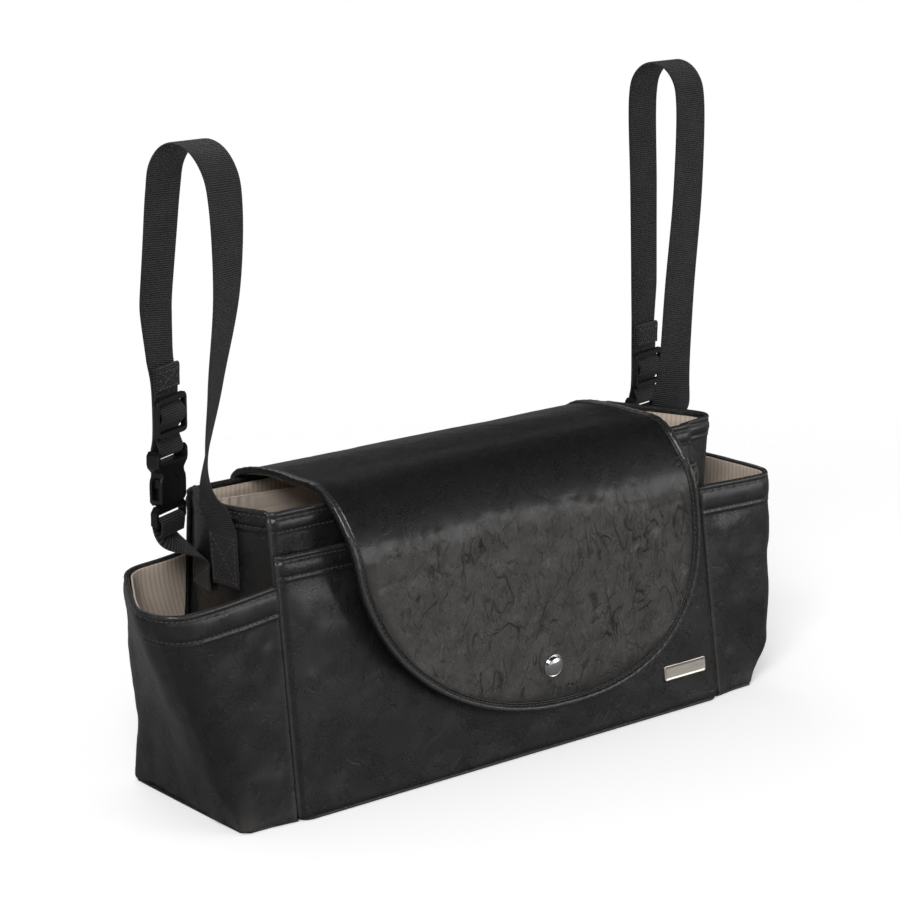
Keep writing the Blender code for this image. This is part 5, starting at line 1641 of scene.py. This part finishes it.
def snap_pieces():
    x, y, z = flap_point(SNAP_X, share_at_height(SNAP_Z))
    face = y - FLAP_THICK / 2 - 0.1 * MM
    r, d = SNAP_RADIUS, SNAP_DOME
    profile = [(r * 0.95, -0.3 * MM), (r * 0.99, 0.1 * d), (r, 0.16 * d), (r, 0.24 * d), (r * 0.975, 0.31 * d)]
    profile += [(r * 0.93, 0.34 * d), (r * 0.885, 0.31 * d), (r * 0.865, 0.27 * d), (r * 0.85, 0.3 * d)]
    profile += [
        (r * 0.84 * math.cos(t), d * (0.3 + 0.7 * math.sin(t))) for t in np.radians(np.linspace(6, 89, 16))
    ]
    round_piece("snap_button", profile, (x, face, z), chrome_look(), "bag", ("snap_cap",))
    for node in ("snap_socket", "snap_stud"):
        softened(node + "_metal", node, chrome_look(), "bag", 0.25 * MM)


def rounded_rectangle(width, height, radius, steps=8):
    points = []
    for k in range(4):
        middle = ((width / 2 - radius) * (1, -1, -1, 1)[k], (height / 2 - radius) * (1, 1, -1, -1)[k])
        for angle in np.radians(90 * k + np.linspace(0, 90, steps + 1)):
            points.append((middle[0] + radius * math.cos(angle), middle[1] + radius * math.sin(angle)))
    return np.array(points)


def plate_piece():
    """The bare metal plate, slightly dished at its rim."""
    wide, tall, thick = PLATE_SIZE
    tilt = FRONT_LEAN / RIM_HEIGHT
    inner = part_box("name_plate")[1].y - tall * tilt
    loops = []
    for depth, shrink in ((0.0, 0.0), (0.7, 0.0), (0.9, 0.12), (1.0, 0.35), (1.0, 0.8), (0.93, 1.0), (0.93, 2.2)):
        s = shrink * MM
        loops.append(
            [
                (PLATE_X + u, inner - depth * thick + (v + tall / 2) * tilt, PLATE_Z + v)
                for u, v in rounded_rectangle(wide - 2 * s, tall - 2 * s, max(PLATE_CORNER - s, 0.3 * MM))
            ]
        )
    points, faces, uvs = swept(loops)
    mesh = mesh_of("bare_plate", points, faces, uvs)
    piece = finished("bare_plate", mesh, [satin_metal_look()], "bag", ("name_plate",))
    piece.data.set_sharp_from_angle(angle=math.radians(40))
    return piece


# Stage


def soft_light(name, where, aim, size, power, colour=(1, 1, 1)):
    data = bpy.data.lights.new(name, "AREA")
    data.shape = "RECTANGLE"
    data.size, data.size_y = size
    data.energy = power
    data.color = colour
    light = bpy.data.objects.new(name, data)
    bpy.context.scene.collection.objects.link(light)
    light.location = where
    light.rotation_euler = (Vector(aim) - Vector(where)).to_track_quat("-Z", "Y").to_euler()
    return light


def studio_world():
    """White to the camera; to gloss a bright wall at the right front that fades upwards and round the sides."""
    world = bpy.data.worlds.new("studio")
    bpy.context.scene.world = world
    world.use_nodes = True
    tree = world.node_tree

    def add(kind, settings, sockets, out=0):
        return add_node(tree, kind, settings, sockets).outputs[out]

    ray = tree.nodes.new("ShaderNodeLightPath").outputs
    place = add("ShaderNodeTexCoord", {}, {}, "Generated")
    up = add("ShaderNodeSeparateXYZ", {}, {0: place}, 2)
    facing = add("ShaderNodeVectorMath", {"operation": "DOT_PRODUCT"}, {0: place, 1: (0.61, -0.79, 0.0)}, "Value")
    eased = {"interpolation_type": "SMOOTHSTEP"}
    wall = add("ShaderNodeMapRange", eased, {"Value": facing, "From Min": 0.1, "From Max": 0.95})
    low = add("ShaderNodeMapRange", eased, {"Value": up, "From Min": 0.62, "From Max": 0.2})
    share = add("ShaderNodeMath", {"operation": "MULTIPLY"}, {0: wall, 1: low})
    near = add("ShaderNodeMapRange", eased, {"Value": up, "From Min": 0.13, "From Max": 0.01, "To Max": GLOSS_EDGE})
    share = add("ShaderNodeMath", {"operation": "MAXIMUM"}, {0: share, 1: near})
    gloss = add("ShaderNodeMix", {"data_type": "RGBA"}, {0: share, 6: GLOSS_ROOM, 7: GLOSS_WALL}, 2)
    soft = add("ShaderNodeMix", {"data_type": "RGBA"}, {0: ray["Is Glossy Ray"], 6: SOFT_SKY, 7: gloss}, 2)
    seen = add("ShaderNodeMath", {"operation": "MAXIMUM"}, {0: ray["Is Camera Ray"], 1: ray["Is Transmission Ray"]})
    shown = add("ShaderNodeMix", {"data_type": "RGBA"}, {0: seen, 6: soft, 7: (1, 1, 1, 1)}, 2)
    background = tree.nodes["Background"]
    tree.links.new(shown, background.inputs["Color"])
    background.inputs["Strength"].default_value = 1.0


def floor_sheet():
    """A pale floor that keeps the shadow and is white beyond it."""
    mesh = bpy.data.meshes.new("floor")
    far = 12.0
    mesh.from_pydata([(-far, -far, 0), (far, -far, 0), (far, far, 0), (-far, far, 0)], [], [(0, 1, 2, 3)])
    floor = bpy.data.objects.new("floor", mesh)
    bpy.context.scene.collection.objects.link(floor)
    floor.location.z = -0.3 * MM
    paint = Paint("pale_floor", Roughness=0.85, Specular_IOR_Level=0.1, Emission_Strength=1.0)
    seen = paint.node("ShaderNodeLightPath", out="Is Camera Ray")
    gloss = paint.node("ShaderNodeLightPath", out="Is Glossy Ray")
    away = paint.node("ShaderNodeVectorMath", {"operation": "LENGTH"}, {0: paint.place()}, "Value")
    kept = 1 - away.between(*FLOOR_FADE) * seen
    paint.set(Base_Color=paint.mix(gloss, (0.93, 0.93, 0.93), FLOOR_GLOSS), Alpha=kept)
    paint.set(Emission_Color=paint.mix(seen, (0.0, 0.0, 0.0), (FLOOR_LIFT,) * 3))
    mesh.materials.append(paint.material)


# Operators


class ORGANIZER_OT_shell(bpy.types.Operator):
    """Front, back and side leather of the bag, with the slip pocket and the floor"""

    bl_idname = "organizer.shell"
    bl_label = "Bag shell"
    bl_options = {"REGISTER", "UNDO"}

    def execute(self, context):
        low = SKIN + GAP
        long_panel_piece("front_panel_leather", "front_panel", -1, low, RIM_HEIGHT, RIM_HEM, 3, -SLIP_LAYER)
        long_panel_piece(
            "back_panel_leather", "back_panel", 1, low, BACK_RIM, RIM_HEM, 17, puff=BACK_PUFF
        )
        long_panel_piece(
            "slip_pocket_leather", "front_slip_pocket", -1, low, SLIP_HEIGHT, SLIP_HEM, 29, 0.0, SLIP_BULGE, SLIP_PUFF,
            SLIP_ROWS,
        )
        for side, word in SIDES:
            gusset_piece(f"{word}_gusset_leather", f"{word}_gusset", side, 37 + side)
            floor_piece(f"{word}_pocket_floor", f"{word}_pocket_base")
        floor_piece("bag_floor", "bottom_panel")
        return {"FINISHED"}


class ORGANIZER_OT_end_pockets(bpy.types.Operator):
    """The two open end pockets and their lining"""

    bl_idname = "organizer.end_pockets"
    bl_label = "End pockets"
    bl_options = {"REGISTER", "UNDO"}

    def execute(self, context):
        for side, word in SIDES:
            pocket_piece(f"{word}_pocket_leather", f"{word}_end_pocket", side, 51 + side)
            pocket_lining_piece(f"{word}_pocket_cloth", f"{word}_pocket_lining", side)
        return {"FINISHED"}


class ORGANIZER_OT_lining(bpy.types.Operator):
    """The striped lining and the two pockets inside"""

    bl_idname = "organizer.lining"
    bl_label = "Lining and inner pockets"
    bl_options = {"REGISTER", "UNDO"}

    def execute(self, context):
        main_lining_piece()
        inner_pocket_piece(
            "elastic_pocket_cloth", "elastic_inner_pocket", ELASTIC_SPAN, ELASTIC_HEIGHTS, ELASTIC_STAND, 22,
            satin_cloth_look(), 211,
        )
        inner_pocket_piece(
            "flat_pocket_cloth", "flat_inner_pocket", FLAT_SPAN, FLAT_HEIGHTS, FLAT_STAND, 0, lining_look(), 223
        )
        return {"FINISHED"}


class ORGANIZER_OT_flap(bpy.types.Operator):
    """The flap and the edging round it"""

    bl_idname = "organizer.flap"
    bl_label = "Flap"
    bl_options = {"REGISTER", "UNDO"}

    def execute(self, context):
        flap_piece()
        binding_piece()
        return {"FINISHED"}


class ORGANIZER_OT_straps(bpy.types.Operator):
    """Webbing of both strap loops"""

    bl_idname = "organizer.straps"
    bl_label = "Straps"
    bl_options = {"REGISTER", "UNDO"}

    def execute(self, context):
        for side, word in SIDES:
            strap_pieces(side, word)
        return {"FINISHED"}


class ORGANIZER_OT_buckles(bpy.types.Operator):
    """Side-release buckles and sliders"""

    bl_idname = "organizer.buckles"
    bl_label = "Buckles and sliders"
    bl_options = {"REGISTER", "UNDO"}

    def execute(self, context):
        for _, word in SIDES:
            body = f"{word}_buckle"
            softened(f"{word}_socket_shell", f"{word}_buckle_socket", plastic_look(), body)
            softened(f"{word}_slider_frame", f"{word}_slider", plastic_look(), body)
            softened(f"{word}_tongue_shell", f"{word}_buckle_tongue", plastic_look(), "bag", 0.35 * MM)
        return {"FINISHED"}


class ORGANIZER_OT_metal(bpy.types.Operator):
    """Snap and bare plate"""

    bl_idname = "organizer.metal"
    bl_label = "Metal trim"
    bl_options = {"REGISTER", "UNDO"}

    def execute(self, context):
        snap_pieces()
        plate_piece()
        return {"FINISHED"}


class ORGANIZER_OT_stitching(bpy.types.Operator):
    """Every visible stitch"""

    bl_idname = "organizer.stitching"
    bl_label = "Stitching"
    bl_options = {"REGISTER", "UNDO"}

    def execute(self, context):
        tree = stitch_tree()
        for body, lines in SEAMS.items():
            slot_name = "black_leather" if body == "bag" else "black_webbing"
            stitched(f"{body}_stitches", lines, tree, body)
        return {"FINISHED"}


class ORGANIZER_OT_stage(bpy.types.Operator):
    """Floor, lights, world and the camera"""

    bl_idname = "organizer.stage"
    bl_label = "Stage"
    bl_options = {"REGISTER", "UNDO"}

    def execute(self, context):
        scene = bpy.context.scene
        scene.view_settings.view_transform = "Standard"
        studio_world()
        floor_sheet()
        soft_light("key", (-1.7, -1.5, 1.9), (0, 0, 0.15), (1.1, 1.1), 44)
        soft_light("front_panel_light", (1.9, -2.4, 0.7), (0.02, 0, 0.12), (1.7, 1.2), 16)
        soft_light("back_light", (0.5, 2.2, 2.0), (0, 0, 0.15), (2.0, 1.0), 9)
        data = bpy.data.cameras.new("view")
        data.lens = LENS_MM
        data.sensor_width = SENSOR_MM
        camera = bpy.data.objects.new("view", data)
        scene.collection.objects.link(camera)
        camera.location = EYE
        camera.rotation_euler = (Vector(AIM) - Vector(EYE)).to_track_quat("-Z", "Y").to_euler()
        scene.camera = camera
        return {"FINISHED"}


MAKERS = (
    ORGANIZER_OT_stage,
    ORGANIZER_OT_shell,
    ORGANIZER_OT_end_pockets,
    ORGANIZER_OT_lining,
    ORGANIZER_OT_flap,
    ORGANIZER_OT_straps,
    ORGANIZER_OT_buckles,
    ORGANIZER_OT_metal,
    ORGANIZER_OT_stitching,
)


class ORGANIZER_PT_pieces(bpy.types.Panel):
    """Sizes, colours and the pieces to make."""

    bl_label = "Stroller organizer"
    bl_idname = "ORGANIZER_PT_pieces"
    bl_space_type = "VIEW_3D"
    bl_region_type = "UI"
    bl_category = "Organizer"

    def draw(self, context):
        layout = self.layout
        for group in (context.scene.organizer_sizes, context.scene.organizer_colours):
            box = layout.box()
            for name in group.__annotations__:
                box.prop(group, name)
        for maker in MAKERS:
            layout.operator(maker.bl_idname)


CLASSES = (OrganizerSizes, OrganizerColours, *MAKERS, ORGANIZER_PT_pieces)


def register():
    for entry in CLASSES:
        bpy.utils.register_class(entry)
    bpy.types.Scene.organizer_sizes = PointerProperty(type=OrganizerSizes)
    bpy.types.Scene.organizer_colours = PointerProperty(type=OrganizerColours)


def unregister():
    del bpy.types.Scene.organizer_colours
    del bpy.types.Scene.organizer_sizes
    for entry in reversed(CLASSES):
        bpy.utils.unregister_class(entry)


def main():
    register()
    for maker in MAKERS:
        group, name = maker.bl_idname.split(".")
        if getattr(getattr(bpy.ops, group), name)() != {"FINISHED"}:
            raise RuntimeError(f"{maker.bl_label} was not made")


if __name__ == "__main__":
    main()
